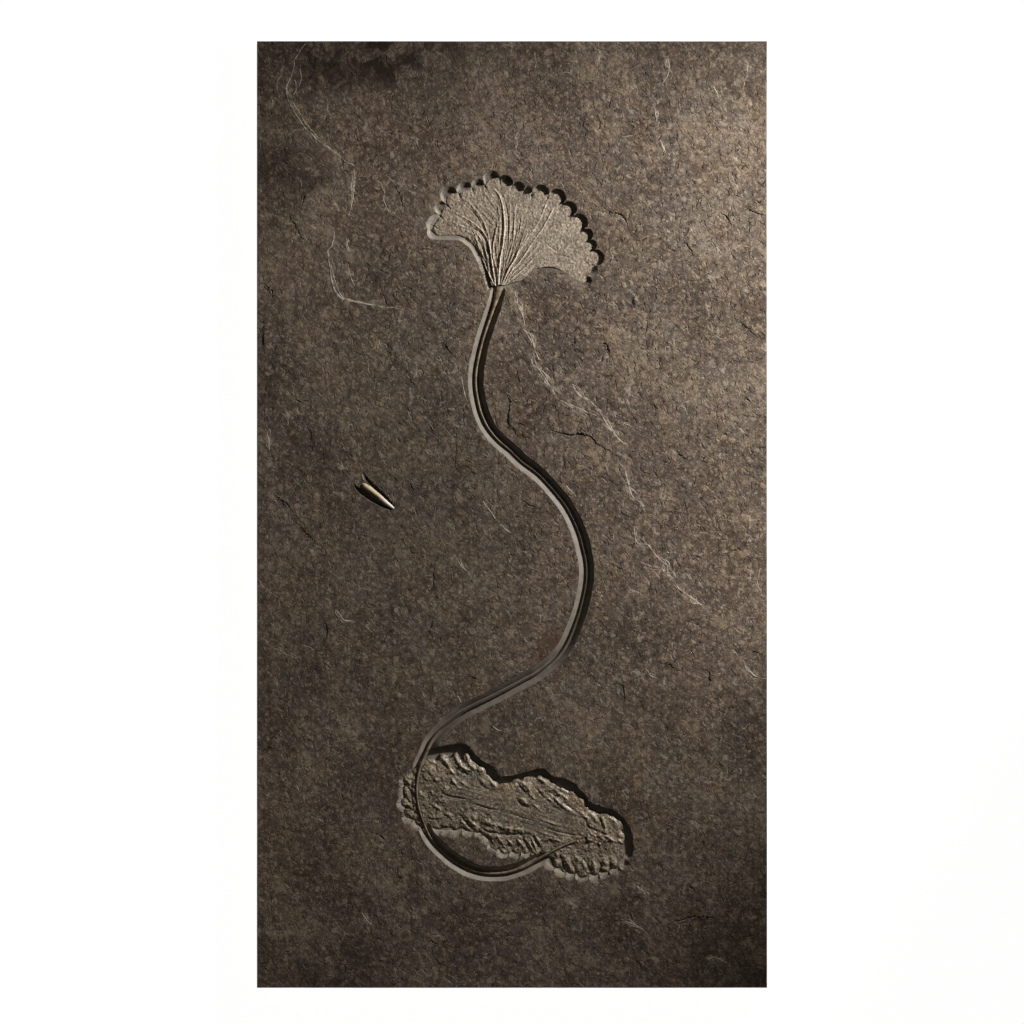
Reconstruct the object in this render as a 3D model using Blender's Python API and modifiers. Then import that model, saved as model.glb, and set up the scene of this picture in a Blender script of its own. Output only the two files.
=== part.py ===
"""A slab of dark shale with two crinoid crowns, the stem that joins them, and a belemnite.

The slab lies on its back: the fossil face looks up +Z, the top of the plate is at +Y, and the
origin is the middle of the back. Face positions are millimetres from the middle of the slab.
"""

import math

import bmesh
import bpy
from mathutils import Vector, noise

MM = 0.001
GAP = 0.3
WALL_GAP = 0.15

SLAB_WIDTH = 900
SLAB_LENGTH = 1670
FACE = 30
EDGE_BEVEL = 1.5

PIT_DEPTH = 14
WALL_DEPTH = 9
SCALLOP_BOW = 4
FAN_WALL_RUN = 10.5
FAN_CUSP_RIM = -8
FAN_CUSP_FOOT = 3
CROWN_WALL_RUN = 13
CROWN_CUSP_RIM = 0
CROWN_CUSP_FOOT = 8

CHANNEL_TOP = 13.5
CHANNEL_FLOOR = 5.5
CHANNEL_DEPTH = 9

STEM_TOP_RADIUS = 5.5
STEM_RADIUS = 3.2
STEM_TAPER_LENGTH = 90
STEM_LIFT = 4.5

CALYX = (-24, 396)
FAN_REACH = 232
FAN_ANGLES = (math.radians(-12), math.radians(192))
FAN_ARMS = 30

CROWN_MIDDLE = (14, -523)
CROWN_TILT = math.radians(-17)
CROWN_LENGTH = 470
CROWN_BREADTH = 280
BAND_HALF = 26

BELEMNITE_END = (-267, 56)
BELEMNITE_TIP = (-209, 11)

# Each outline point carries how far the arc to the next point bows outward.
FAN_RIM = [
    (-44, 394, 0), (-55, 421, 0), (-74, 461, -3), (-92, 479, 2), (-145, 485, 5),
    (-146, 505, 18), (-127, 528, 20), (-113, 545, 28), (-94, 565, 19), (-70, 574, 18),
    (-47, 578, 25), (-22, 590, 17), (-2, 576, 19), (19, 566, 16), (35, 562, 23),
    (63, 559, 26), (86, 544, 23), (102, 523, 24), (121, 499, 19), (131, 481, 17),
    (138, 465, 24), (142, 440, 15), (131, 422, 12), (126, 401, 0), (106, 406, 0),
    (83, 420, -3), (59, 426, 0), (43, 423, 0), (32, 411, 2), (13, 401, 0), (-9, 394, 0),
]
CROWN_RIM = [
    (-145, -412, 0), (-169, -440, 0), (-194, -456, 5), (-197, -480, 5), (-199, -500, 9),
    (-192, -525, 11), (-178, -544, 9), (-162, -559, 0), (-141, -564, 3), (-125, -566, 3),
    (-109, -566, 6), (-88, -564, 6), (-67, -564, 4), (-56, -571, 5), (-44, -585, 6),
    (-28, -597, 9), (-5, -603, 8), (16, -601, 8), (34, -601, 5), (49, -601, 0),
    (56, -613, 9), (74, -629, 7), (94, -640, 7), (111, -641, 7), (136, -643, 9),
    (155, -641, 7), (173, -634, 7), (191, -626, 9), (205, -611, 5), (215, -583, 0),
    (214, -567, 2), (203, -541, 2), (176, -518, -2), (155, -511, -2), (136, -504, 2),
    (120, -484, 2), (106, -470, 2), (83, -463, -4), (58, -448, 2), (32, -451, 0),
    (0, -459, 0), (-19, -461, -2), (-26, -451, 2), (-46, -437, -2), (-74, -410, 2),
    (-92, -403, 0), (-113, -405, 0), (-131, -409, 0),
]

# The stem's route over the face, from the upper crown down to the lower one.
STEM_ROUTE = [
    (-22, 406), (-28, 380), (-36, 355), (-47, 323), (-56, 291), (-63, 255), (-64, 230),
    (-61, 206), (-54, 178), (-42, 153), (-24, 131), (-3, 113), (19, 92), (50, 68),
    (87, 26), (104, -1), (117, -30), (125, -58), (131, -87), (131, -117), (126, -145),
    (119, -172), (109, -200), (97, -227), (80, -251), (51, -276), (25, -291), (-26, -318),
    (-79, -344), (-101, -359), (-120, -375), (-140, -397), (-152, -422), (-162, -446),
    (-168, -478), (-166, -510), (-157, -541), (-142, -573), (-110, -605), (-80, -624),
    (-57, -632), (-39, -634), (-16, -633), (2, -629), (24, -621), (47, -608),
    (69, -595), (91, -584), (112, -576),
]

# Hairline cracks where the shale has split along its bedding.
CRACKS = [
    [(65, 151), (113, 139), (139, 138), (171, 114), (185, 105)],
    [(-21, 220), (-5, 197), (-7, 158), (34, 133)],
    [(-97, 446), (-95, 426), (-74, 419), (-64, 401)],
    [(-432, 396), (-440, 340), (-437, 281)],
    [(-418, 34), (-398, 8), (-377, -30), (-356, -45)],
    [(409, 543), (428, 536), (444, 527)],
]
CRACK_WIDTH = 3.2
CRACK_DEPTH = 1.8


def at(x, y, z):
    return Vector((x, y, z)) * MM


def clear_scene():
    for found in list(bpy.data.objects):
        bpy.data.objects.remove(found, do_unlink=True)


def new_collection(name):
    made = bpy.data.collections.new(name)
    bpy.context.scene.collection.children.link(made)
    return made


clear_scene()
plate = new_collection("fossil_crinoid_plate")
cutters = new_collection("cutters")


def new_object(name, data, collection):
    made = bpy.data.objects.new(name, data)
    collection.objects.link(made)
    if collection is cutters:
        made.hide_render = True
        made.display_type = "WIRE"
    return made


def mesh_object(name, shape, collection):
    bmesh.ops.recalc_face_normals(shape, faces=shape.faces)
    mesh = bpy.data.meshes.new(name)
    shape.to_mesh(mesh)
    shape.free()
    return new_object(name, mesh, collection)


def curve_to_mesh(curve_object, collection):
    """The curve's evaluated mesh with its caps welded, in place of the curve."""
    name = curve_object.name
    bpy.context.view_layer.update()
    graph = bpy.context.evaluated_depsgraph_get()
    mesh = bpy.data.meshes.new_from_object(curve_object.evaluated_get(graph))
    world = curve_object.matrix_world.copy()
    bpy.data.objects.remove(curve_object, do_unlink=True)
    shape = bmesh.new()
    shape.from_mesh(mesh)
    bmesh.ops.remove_doubles(shape, verts=shape.verts, dist=1e-6)
    made = mesh_object(name, shape, collection)
    made.matrix_world = world
    return made


def boolean(target, operation, tool):
    modifier = target.modifiers.new(tool.name, "BOOLEAN")
    modifier.operation = operation
    modifier.object = tool
    modifier.solver = "EXACT"


def material(name, colour, roughness, metallic=0.0):
    made = bpy.data.materials.new(name)
    made.use_nodes = True
    shader = made.node_tree.nodes["Principled BSDF"]
    shader.inputs["Base Color"].default_value = (*colour, 1)
    shader.inputs["Roughness"].default_value = roughness
    shader.inputs["Metallic"].default_value = metallic
    made.diffuse_color = (*colour, 1)
    return made


def smooth_path(points, spacing):
    """A Catmull-Rom curve through the points, read about every spacing millimetres."""
    ends = [2 * points[0] - points[1], *points, 2 * points[-1] - points[-2]]
    path = []
    for before, start, end, after in zip(ends, ends[1:], ends[2:], ends[3:]):
        steps = max(1, round((end - start).length / spacing))
        for step in range(steps):
            t = step / steps
            path.append(
                0.5 * (2 * start + (end - before) * t
                       + (2 * before - 5 * start + 4 * end - after) * t**2
                       + (3 * start - before - 3 * end + after) * t**3)
            )
    return [*path, points[-1]]


# Outlines ---------------------------------------------------------------------------------


def turning(chain):
    """+1 where the chain runs anticlockwise, -1 where it runs clockwise."""
    following = chain[1:] + chain[:1]
    area = sum(a[0] * b[1] - b[0] * a[1] for a, b in zip(chain, following))
    return math.copysign(1, area)


def arc(start, end, bow, steps):
    """Points from start up to, not including, end, on an arc bowed to the right of its chord."""
    chord = end - start
    side = Vector((chord.y, -chord.x)).normalized()
    half = chord.length / 2
    if abs(bow) < 0.5:
        return [start + chord * step / steps for step in range(steps)]
    radius = (half**2 + bow**2) / (2 * abs(bow))
    centre = start + chord / 2 + side * (bow - math.copysign(radius, bow))
    sweep = 4 * math.atan(bow / half)
    spoke = start - centre
    points = []
    for step in range(steps):
        angle = sweep * step / steps
        turned = Vector((spoke.x * math.cos(angle) - spoke.y * math.sin(angle),
                         spoke.x * math.sin(angle) + spoke.y * math.cos(angle)))
        points.append(centre + turned)
    return points


def arc_steps(bow):
    return 6 if bow > 12 else 4 if bow >= SCALLOP_BOW else 2


def wall_outline(chain, at_cusps, elsewhere):
    """The chain moved inward, by one distance at the cusps between scallops and another elsewhere."""
    side = turning(chain)
    count = len(chain)
    moved, shifts = [], []
    for i, (x, y, bow) in enumerate(chain):
        before = chain[i - 1]
        after = chain[(i + 1) % count]
        way = (Vector(after[:2]) - Vector((x, y))).normalized()
        way += (Vector((x, y)) - Vector(before[:2])).normalized()
        inward = Vector((-way.y, way.x)).normalized() * side
        is_cusp = min(bow, before[2]) >= SCALLOP_BOW
        shifts.append(at_cusps if is_cusp else elsewhere)
        moved.append(Vector((x, y)) + inward * shifts[-1])
    points = []
    for i, (_, _, bow) in enumerate(chain):
        j = (i + 1) % count
        if bow >= SCALLOP_BOW:
            new_bow = max(bow - elsewhere + (shifts[i] + shifts[j]) / 2, 1)
        else:
            new_bow = bow
        points += arc(moved[i], moved[j], new_bow * side, arc_steps(bow))
    return points


def inset(points, distance):
    """The closed outline moved inward by the distance."""
    side = turning([tuple(p) for p in points])
    moved = []
    for i, point in enumerate(points):
        arriving = (point - points[i - 1]).normalized()
        leaving = (points[(i + 1) % len(points)] - point).normalized()
        way = (arriving + leaving).normalized()
        sharpness = max(way.dot(leaving), 0.5)
        moved.append(point + Vector((-way.y, way.x)) * side * distance / sharpness)
    return moved


# Shapes -----------------------------------------------------------------------------------


def loft(name, levels, collection):
    """A closed solid through outlines of equally many points, each at its own height."""
    shape = bmesh.new()
    rings = [[shape.verts.new(at(p.x, p.y, z)) for p in outline] for outline, z in levels]
    for upper, lower in zip(rings, rings[1:]):
        for i in range(len(upper)):
            j = (i + 1) % len(upper)
            shape.faces.new((upper[i], upper[j], lower[j]))
            shape.faces.new((upper[i], lower[j], lower[i]))
    shape.faces.new(rings[0])
    shape.faces.new(rings[-1])
    return mesh_object(name, shape, collection)


def pit(name, rim, foot):
    """A cutter that narrows from the rim at the face to the foot, then drops to the floor."""
    levels = [(rim, FACE + 5), (rim, FACE), (foot, FACE - WALL_DEPTH), (foot, FACE - PIT_DEPTH)]
    return loft(name, levels, cutters)


def prism(name, outline, low, collection):
    """An upright block from the low height to well above the face."""
    return loft(name, [(outline, FACE + 5), (outline, low)], collection)


def tube(name, path, radii, resolution, collection):
    """A round tube along the path, one radius to each point."""
    curve = bpy.data.curves.new(name, "CURVE")
    curve.dimensions = "3D"
    curve.bevel_depth = MM
    curve.bevel_resolution = resolution
    curve.use_fill_caps = True
    spline = curve.splines.new("POLY")
    spline.points.add(len(path) - 1)
    for target, p, radius in zip(spline.points, path, radii):
        target.co = (*(p * MM), 1)
        target.radius = radius
    return curve_to_mesh(new_object(name, curve, collection), collection)


def groove(name, path, profile):
    """A cutter of one section, profile, carried along a path on the face."""
    section = bpy.data.curves.new(name + "_section", "CURVE")
    section.dimensions = "2D"
    outline = section.splines.new("POLY")
    outline.points.add(len(profile) - 1)
    for target, (x, z) in zip(outline.points, profile):
        target.co = (x * MM, z * MM, 0, 1)
    outline.use_cyclic_u = True
    section_object = new_object(name + "_section", section, cutters)
    curve = bpy.data.curves.new(name, "CURVE")
    curve.dimensions = "3D"
    curve.twist_mode = "Z_UP"
    curve.bevel_mode = "OBJECT"
    curve.bevel_object = section_object
    curve.use_fill_caps = True
    spline = curve.splines.new("POLY")
    spline.points.add(len(path) - 1)
    for target, p in zip(spline.points, path):
        target.co = (p.x * MM, p.y * MM, FACE * MM, 1)
    made = curve_to_mesh(new_object(name, curve, cutters), cutters)
    bpy.data.objects.remove(section_object, do_unlink=True)
    return made


def mould(name, shape):
    """A grid of surface heights, drawn up into a block that trims a fossil from above."""
    rise = bmesh.ops.extrude_face_region(shape, geom=shape.faces[:])
    for vert in (v for v in rise["geom"] if isinstance(v, bmesh.types.BMVert)):
        vert.co.z = (FACE + 25) * MM
    return mesh_object(name, shape, cutters)


# The slab ---------------------------------------------------------------------------------

fan_rim = wall_outline(FAN_RIM, FAN_CUSP_RIM, 0)
fan_foot = wall_outline(FAN_RIM, FAN_CUSP_FOOT, FAN_WALL_RUN)
crown_rim = wall_outline(CROWN_RIM, CROWN_CUSP_RIM, 0)
crown_foot = wall_outline(CROWN_RIM, CROWN_CUSP_FOOT, CROWN_WALL_RUN)
stem_plan = smooth_path([Vector(p) for p in STEM_ROUTE], 17)


def make_slab():
    bpy.ops.mesh.primitive_cube_add(size=1, location=at(0, 0, FACE / 2))
    slab = bpy.context.object
    slab.name = "shale_slab"
    slab.scale = at(SLAB_WIDTH, SLAB_LENGTH, FACE)
    bpy.ops.object.transform_apply(location=False, rotation=False, scale=True)
    for holder in list(slab.users_collection):
        holder.objects.unlink(slab)
    plate.objects.link(slab)
    edges = slab.modifiers.new("worn edges", "BEVEL")
    edges.width = EDGE_BEVEL * MM
    edges.segments = 2
    for name, rim, foot in (("fan", fan_rim, fan_foot), ("crown", crown_rim, crown_foot)):
        boolean(slab, "DIFFERENCE", pit(name + "_pit", rim, foot))
        over_floor = FACE - PIT_DEPTH + 2
        clearance = prism(name + "_clearance", inset(foot, WALL_GAP), over_floor, cutters)
        boolean(slab, "DIFFERENCE", clearance)
    over = 3
    slope = (CHANNEL_TOP - CHANNEL_FLOOR) / CHANNEL_DEPTH
    channel = [
        (-CHANNEL_TOP - over * slope, over),
        (-CHANNEL_FLOOR, -CHANNEL_DEPTH),
        (CHANNEL_FLOOR, -CHANNEL_DEPTH),
        (CHANNEL_TOP + over * slope, over),
    ]
    boolean(slab, "DIFFERENCE", groove("stem_channel", stem_plan, channel))
    boolean(slab, "DIFFERENCE", make_belemnite_trough())
    vee = [(-CRACK_WIDTH / 2, 0.5), (0, -CRACK_DEPTH), (CRACK_WIDTH / 2, 0.5)]
    for i, crack in enumerate(CRACKS):
        boolean(slab, "DIFFERENCE", groove(f"crack_{i + 1}", [Vector(p) for p in crack], vee))
    slab.data.materials.append(material("shale", (0.095, 0.07, 0.052), 0.85))


# The stem ---------------------------------------------------------------------------------


def stem_radius(travelled):
    taper = max(0, 1 - travelled / STEM_TAPER_LENGTH)
    return STEM_RADIUS + (STEM_TOP_RADIUS - STEM_RADIUS) * taper**1.5


def over_crown(p):
    """How much of its lift the stem has here: 0 in its channel, 1 on top of the lower crown."""
    left = min(max((-400 - p.y) / 40, 0), 1) * min(max((p.y + 572) / 32, 0), 1)
    right = min(max((p.x - 36) / 30, 0), 1) if p.y < -560 else 0
    share = max(left, right)
    return share * share * (3 - 2 * share)


def stem_line():
    """Centre line and radii: the stem lies on the channel's floor and climbs onto the crown."""
    path, radii, travelled = [], [], 0
    for i, p in enumerate(stem_plan):
        if i:
            travelled += (p - stem_plan[i - 1]).length
        radius = stem_radius(travelled)
        rest = FACE - CHANNEL_DEPTH + GAP + radius
        path.append(Vector((p.x, p.y, rest + STEM_LIFT * over_crown(p))))
        radii.append(radius)
    return path, radii


def make_stem():
    path, radii = stem_line()
    stem = tube("stem", path, radii, 2, plate)
    stem.data.shade_smooth()
    stem.data.set_sharp_from_angle(angle=math.radians(50))
    stem.data.materials.append(material("stem_calcite", (0.23, 0.18, 0.13), 0.6))


def stem_clearance():
    """The stem made a gap larger all round, which both crowns are cut by."""
    path, radii = stem_line()
    path[0] += (path[0] - path[1]).normalized() * 2 * GAP
    path[-1] += (path[-1] - path[-2]).normalized() * 2 * GAP
    return tube("stem_clearance", path, [r + 1.3 * GAP for r in radii], 2, cutters)


# The upper crown --------------------------------------------------------------------------


def fan_height(angle, reach):
    """Arms stand as ridges near the calyx and sink into a rough sheet toward the rim."""
    share = reach / FAN_REACH
    crest = FACE + 0.5 - 7.5 * share**1.4
    strength = 2.4 * min(reach / 30, 1) * (1 - 0.75 * share)
    bend = 0.25 * share * math.cos(angle)
    arms = math.cos((angle + bend) * FAN_ARMS)
    rough = noise.noise(Vector((reach * math.cos(angle), reach * math.sin(angle), 0)) / 9)
    return crest + strength * arms + 0.9 * rough


def make_upper_crown():
    shape = bmesh.new()
    bmesh.ops.create_grid(shape, x_segments=150, y_segments=11, size=0.5)
    first, last = FAN_ANGLES
    for vert in shape.verts:
        angle = first + (last - first) * (0.5 - vert.co.x)
        reach = 4 + FAN_REACH * (vert.co.y + 0.5)
        vert.co = at(CALYX[0] + reach * math.cos(angle), CALYX[1] + reach * math.sin(angle),
                     fan_height(angle, reach))
    above = mould("fan_mould", shape)
    body = prism("upper_crown", inset(fan_foot, GAP + WALL_GAP), FACE - PIT_DEPTH + GAP, plate)
    boolean(body, "DIFFERENCE", above)
    boolean(body, "DIFFERENCE", bpy.data.objects["stem_clearance"])
    body.data.materials.append(material("crown_calcite", (0.3, 0.24, 0.18), 0.7))


# The lower crown --------------------------------------------------------------------------


def crown_height(along, across):
    """A streaked band of straight arms down the middle, with curled arm ends either side."""
    edge = max(abs(across) - BAND_HALF, 0)
    flank = min(edge / 25, 1)
    lumps = noise.noise(Vector((along / 15, across / 11, 3))) * 3.2
    lumps += noise.noise(Vector((along / 7, across / 7, 9))) * 1.4
    streaks = math.cos(across * 0.62) * 0.8
    return FACE - 1.5 - edge * 0.018 + flank * lumps + (1 - flank) * streaks


def make_lower_crown():
    shape = bmesh.new()
    bmesh.ops.create_grid(shape, x_segments=54, y_segments=34, size=0.5)
    for vert in shape.verts:
        along = vert.co.x * CROWN_LENGTH
        across = vert.co.y * CROWN_BREADTH
        x = CROWN_MIDDLE[0] + along * math.cos(CROWN_TILT) - across * math.sin(CROWN_TILT)
        y = CROWN_MIDDLE[1] + along * math.sin(CROWN_TILT) + across * math.cos(CROWN_TILT)
        vert.co = at(x, y, crown_height(along, across))
    above = mould("crown_mould", shape)
    body = prism("lower_crown", inset(crown_foot, GAP + WALL_GAP), FACE - PIT_DEPTH + GAP, plate)
    boolean(body, "DIFFERENCE", above)
    boolean(body, "DIFFERENCE", bpy.data.objects["stem_clearance"])
    body.data.materials.append(material("pyritised_calcite", (0.15, 0.12, 0.08), 0.55))


# The belemnite ----------------------------------------------------------------------------

BELEMNITE_PROFILE = [(0, 6.2), (0.25, 6.8), (0.5, 6.4), (0.75, 4.6), (0.92, 2.2), (0.98, 1)]
TROUGH_DEPTH = 11


def belemnite_frame():
    """Its blunt end, the way to its tip and its length, on the face."""
    start = Vector(BELEMNITE_END)
    way = Vector(BELEMNITE_TIP) - start
    return start, way.normalized(), way.length


def make_belemnite_trough():
    start, way, length = belemnite_frame()
    side = Vector((-way.y, way.x))
    widths = [(-3, -14, 18), (12, -16, 16), (40, -13, 13), (64, -8, 8), (length + 3, -2, 2)]
    left = [start + way * d + side * high for d, _, high in widths]
    right = [start + way * d + side * low for d, low, _ in reversed(widths)]
    rim = left + right
    foot = inset(rim, 1.2)
    levels = [(rim, FACE + 4), (rim, FACE), (foot, FACE - TROUGH_DEPTH)]
    return loft("belemnite_trough", levels, cutters)


def make_belemnite():
    start, way, length = belemnite_frame()
    rest = FACE - TROUGH_DEPTH + GAP
    path, radii = [], []
    for share, radius in BELEMNITE_PROFILE:
        p = start + way * length * share
        path.append(Vector((p.x, p.y, rest + radius)))
        radii.append(radius)
    belemnite = tube("belemnite", path, radii, 4, plate)
    belemnite.data.shade_smooth()
    belemnite.data.set_sharp_from_angle(angle=math.radians(50))
    belemnite.data.materials.append(material("belemnite_calcite", (0.42, 0.28, 0.13), 0.35))


make_slab()
make_stem()
stem_clearance()
make_upper_crown()
make_lower_crown()
make_belemnite()
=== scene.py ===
import math

import bmesh
import bpy
import numpy as np
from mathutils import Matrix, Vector


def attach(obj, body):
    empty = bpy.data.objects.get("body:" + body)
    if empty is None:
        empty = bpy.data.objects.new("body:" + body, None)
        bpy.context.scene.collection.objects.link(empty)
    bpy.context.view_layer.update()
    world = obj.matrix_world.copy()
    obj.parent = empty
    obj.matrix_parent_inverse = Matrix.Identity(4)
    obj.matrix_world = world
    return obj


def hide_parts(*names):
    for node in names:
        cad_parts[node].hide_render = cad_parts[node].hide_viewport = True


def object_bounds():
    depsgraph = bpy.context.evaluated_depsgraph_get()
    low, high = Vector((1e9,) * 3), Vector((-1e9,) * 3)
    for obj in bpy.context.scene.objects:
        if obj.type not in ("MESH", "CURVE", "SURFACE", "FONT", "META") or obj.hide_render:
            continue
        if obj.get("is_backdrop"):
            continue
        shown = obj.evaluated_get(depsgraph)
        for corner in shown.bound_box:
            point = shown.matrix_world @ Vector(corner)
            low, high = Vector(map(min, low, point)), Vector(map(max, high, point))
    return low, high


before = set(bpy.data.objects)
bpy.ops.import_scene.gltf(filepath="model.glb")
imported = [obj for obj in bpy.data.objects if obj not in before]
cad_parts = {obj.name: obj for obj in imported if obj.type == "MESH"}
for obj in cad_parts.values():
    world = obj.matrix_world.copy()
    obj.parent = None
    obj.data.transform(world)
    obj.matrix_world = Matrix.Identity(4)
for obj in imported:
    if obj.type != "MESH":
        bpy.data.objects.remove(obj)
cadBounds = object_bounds()
mm = 0.001

# Places on the face are in millimetres from the middle of the slab, and heights from its back. Only
# the lists that are passed to fromGrid and lineFromGrid are on the drawing grid described below.
slab = dict(
    width=900, length=1670, face=30, columns=200, rows=371, edgeRound=1.4, drop=0.45,
    swell=0.4, swellSize=170, waves=0.3, waveSize=34, grit=0.3, gritSize=11,
    ledge=0.55, ledgeSize=150, ledgeCount=7, crackStep=0.5,
)
pits = dict(
    depth=14, wallDepth=9, channelTop=13.5, channelFloor=4.4, troughDepth=11, crownFloor=5.8,
    crownDrop=3,
)
light = dict(
    place=(1.489, 1.0, 0.7), aim=(-0.15, -0.01, 0.03), cone=63, blend=0.85, size=0.1, watts=212,
    tint=(1.0, 0.975, 0.94), fill=0.035, roomTint=(1.0, 0.94, 0.87, 1), floorSize=14,
    floorTint=(0.82, 0.82, 0.81, 1), floorGlow=0.965,
)
# of the rows of the square image, slabRows are filled by the slab
camera = dict(lens=100, sensor=36, rows=1024, slabRows=947, up=0.0044)
# the drawing grid of the finer lines, its columns to the right and its rows down: its step in
# millimetres, and the slab's middle on it
grid = dict(step=1.7647, middle=(512, 514.5))


def lineFromGrid(line, digits=1):
    # columns and rows as millimetres from the slab's middle, rounded to so many digits
    column, row = grid["middle"]
    return [(round((p[0] - column) * grid["step"], digits),
             round((row - p[1]) * grid["step"], digits)) for p in line]


def fromGrid(rows, digits=1):
    return [(*values, lineFromGrid(line, digits)) for *values, line in rows]


def scatter(ix, iy, seed):
    # an even spread of values in 0..1, one for each whole-number place
    n = (ix * 374761393 + iy * 668265263 + seed * 974634777) & 0xFFFFFFFF
    n = ((n ^ (n >> 13)) * 1274126177) & 0xFFFFFFFF
    return ((n ^ (n >> 16)) & 0xFFFF) / 65535


def waviness(x, y, seed=0):
    # gradient noise, about -1..1, with features one unit across
    ix, iy = np.floor(x).astype(np.int64), np.floor(y).astype(np.int64)
    fx, fy = x - ix, y - iy
    total = 0
    for cornerX in (0, 1):
        for cornerY in (0, 1):
            turn = scatter(ix + cornerX, iy + cornerY, seed) * 2 * np.pi
            slope = np.cos(turn) * (fx - cornerX) + np.sin(turn) * (fy - cornerY)
            wx, wy = 1 - np.abs(fx - cornerX), 1 - np.abs(fy - cornerY)
            wx = wx**3 * (wx * (wx * 6 - 15) + 10)
            wy = wy**3 * (wy * (wy * 6 - 15) + 10)
            total = total + slope * wx * wy
    return total * 1.6


def roughness(x, y, size, layers=3, seed=0, fade=0.55):
    # layers of waviness, each half the size of the one before
    total, strength = 0, 1
    for layer in range(layers):
        turn = 0.6 + layer * 1.1
        u = (x * math.cos(turn) - y * math.sin(turn)) / size
        v = (x * math.sin(turn) + y * math.cos(turn)) / size
        total = total + strength * waviness(u, v, seed + layer * 7)
        strength *= fade
        size *= 0.5
    return total


def ease(value, low, high):
    # a soft step from 0 to 1 as the value goes from low to high
    t = np.clip((value - low) / (high - low), 0, 1)
    return t * t * (3 - 2 * t)


def around(x, y, line, margin):
    # which places lie within the line's own rectangle, widened by a margin
    xs, ys = [p[0] for p in line], [p[1] for p in line]
    inX = (x > min(xs) - margin) & (x < max(xs) + margin)
    return inX & (y > min(ys) - margin) & (y < max(ys) + margin)


def nearPath(x, y, points, closed=False):
    # distance to a line through the points, how far along it (0..1), and which side of it:
    # +1 is up and to the right
    ends = points[1:] + (points[:1] if closed else [])
    lengths = [math.dist(a, b) for a, b in zip(points, ends)]
    whole = sum(lengths)
    best = np.full(np.shape(x), 1e9)
    along = np.zeros(np.shape(x))
    side = np.ones(np.shape(x))
    travelled = 0
    for a, b, length in zip(points, ends, lengths):
        dx, dy = (b[0] - a[0]) / length, (b[1] - a[1]) / length
        run = np.clip((x - a[0]) * dx + (y - a[1]) * dy, 0, length)
        ox, oy = x - a[0] - run * dx, y - a[1] - run * dy
        apart = np.hypot(ox, oy)
        closer = apart < best
        best = np.where(closer, apart, best)
        along = np.where(closer, (travelled + run) / whole, along)
        side = np.where(closer, np.sign(ox + oy), side)
        travelled += length
    return best, along, side


def raised(height, x, y, lines, look, strength):
    # adds a ridge along each line, or a furrow where the amount is below 0: look holds the amount
    # and spread as shares of each line's own height and width, and strength varies it lengthways
    for width, rise, line in lines:
        apart, along, _ = nearPath(x, y, smoothPath(line, look["spacing"]))
        section = np.exp(-((apart / (look["spread"] * width)) ** 2))
        height = height + look["amount"] * rise * strength(along) * section
    return height


def smoothPath(points, spacing):
    # a Catmull-Rom curve through the points, read about every spacing millimetres
    points = [Vector(p) for p in points]
    ends = [2 * points[0] - points[1], *points, 2 * points[-1] - points[-2]]
    path = []
    for before, start, end, after in zip(ends, ends[1:], ends[2:], ends[3:]):
        steps = max(1, round((end - start).length / spacing))
        for step in range(steps):
            t = step / steps
            path.append(
                0.5 * (2 * start + (end - before) * t
                       + (2 * before - 5 * start + 4 * end - after) * t**2
                       + (3 * start - before - 3 * end + after) * t**3)
            )
    return [tuple(p) for p in [*path, points[-1]]]


# outlines of the two pits: each point carries how far the arc to the next one bows outward

scallopBow = 4
fanRim = [
    (-44, 394, 0), (-50, 414, 0), (-57.5, 432, 0), (-64, 449, 0), (-72, 464, -1),
    (-84, 476, -2), (-100, 483, 0), (-137, 484, 11),
    (-142, 502, 17), (-126, 527, 20), (-113, 545, 28), (-94, 565, 19), (-70, 574, 18),
    (-47, 578, 25), (-22, 590, 17), (-2, 576, 19), (19, 566, 16), (35, 562, 23),
    (63, 559, 26), (86, 544, 23), (102, 523, 24), (121, 499, 19), (131, 481, 17),
    (138, 465, 24), (142, 440, 15), (131, 422, 12), (126, 401, 0), (106, 406, 0),
    (83, 420, -3), (59, 426, 0), (43, 423, 0), (32, 411, 2), (13, 401, 0), (-9, 394, 0),
]
crownRim = [
    (-145, -412, 0), (-169, -440, 0), (-194, -456, 5), (-197, -480, 5), (-199, -500, 9),
    (-192, -525, 11), (-178, -544, 9), (-162, -559, 0), (-141, -562, 6), (-125, -564, 6),
    (-109, -564, 8), (-88, -562, 8), (-67, -562, 5), (-56, -569, 6), (-44, -583, 8),
    (-28, -595, 10), (-5, -601, 10), (16, -599, 10), (34, -599, 6), (49, -601, 0),
    (56, -611, 10), (74, -627, 9), (94, -638, 9), (111, -639, 10), (136, -641, 10),
    (155, -639, 9), (173, -632, 9), (191, -624, 10), (205, -611, 5), (215, -583, 0),
    (214, -567, 2), (203, -541, 2), (176, -518, -2), (155, -511, -2), (136, -504, 2),
    (120, -484, 2), (106, -470, 2), (83, -463, -4), (58, -448, 2), (32, -451, 0),
    (0, -459, 0), (-19, -461, -2), (-26, -451, 2), (-46, -437, -2), (-74, -410, 2),
    (-92, -403, 0), (-113, -405, 0), (-131, -409, 0),
]
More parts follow.
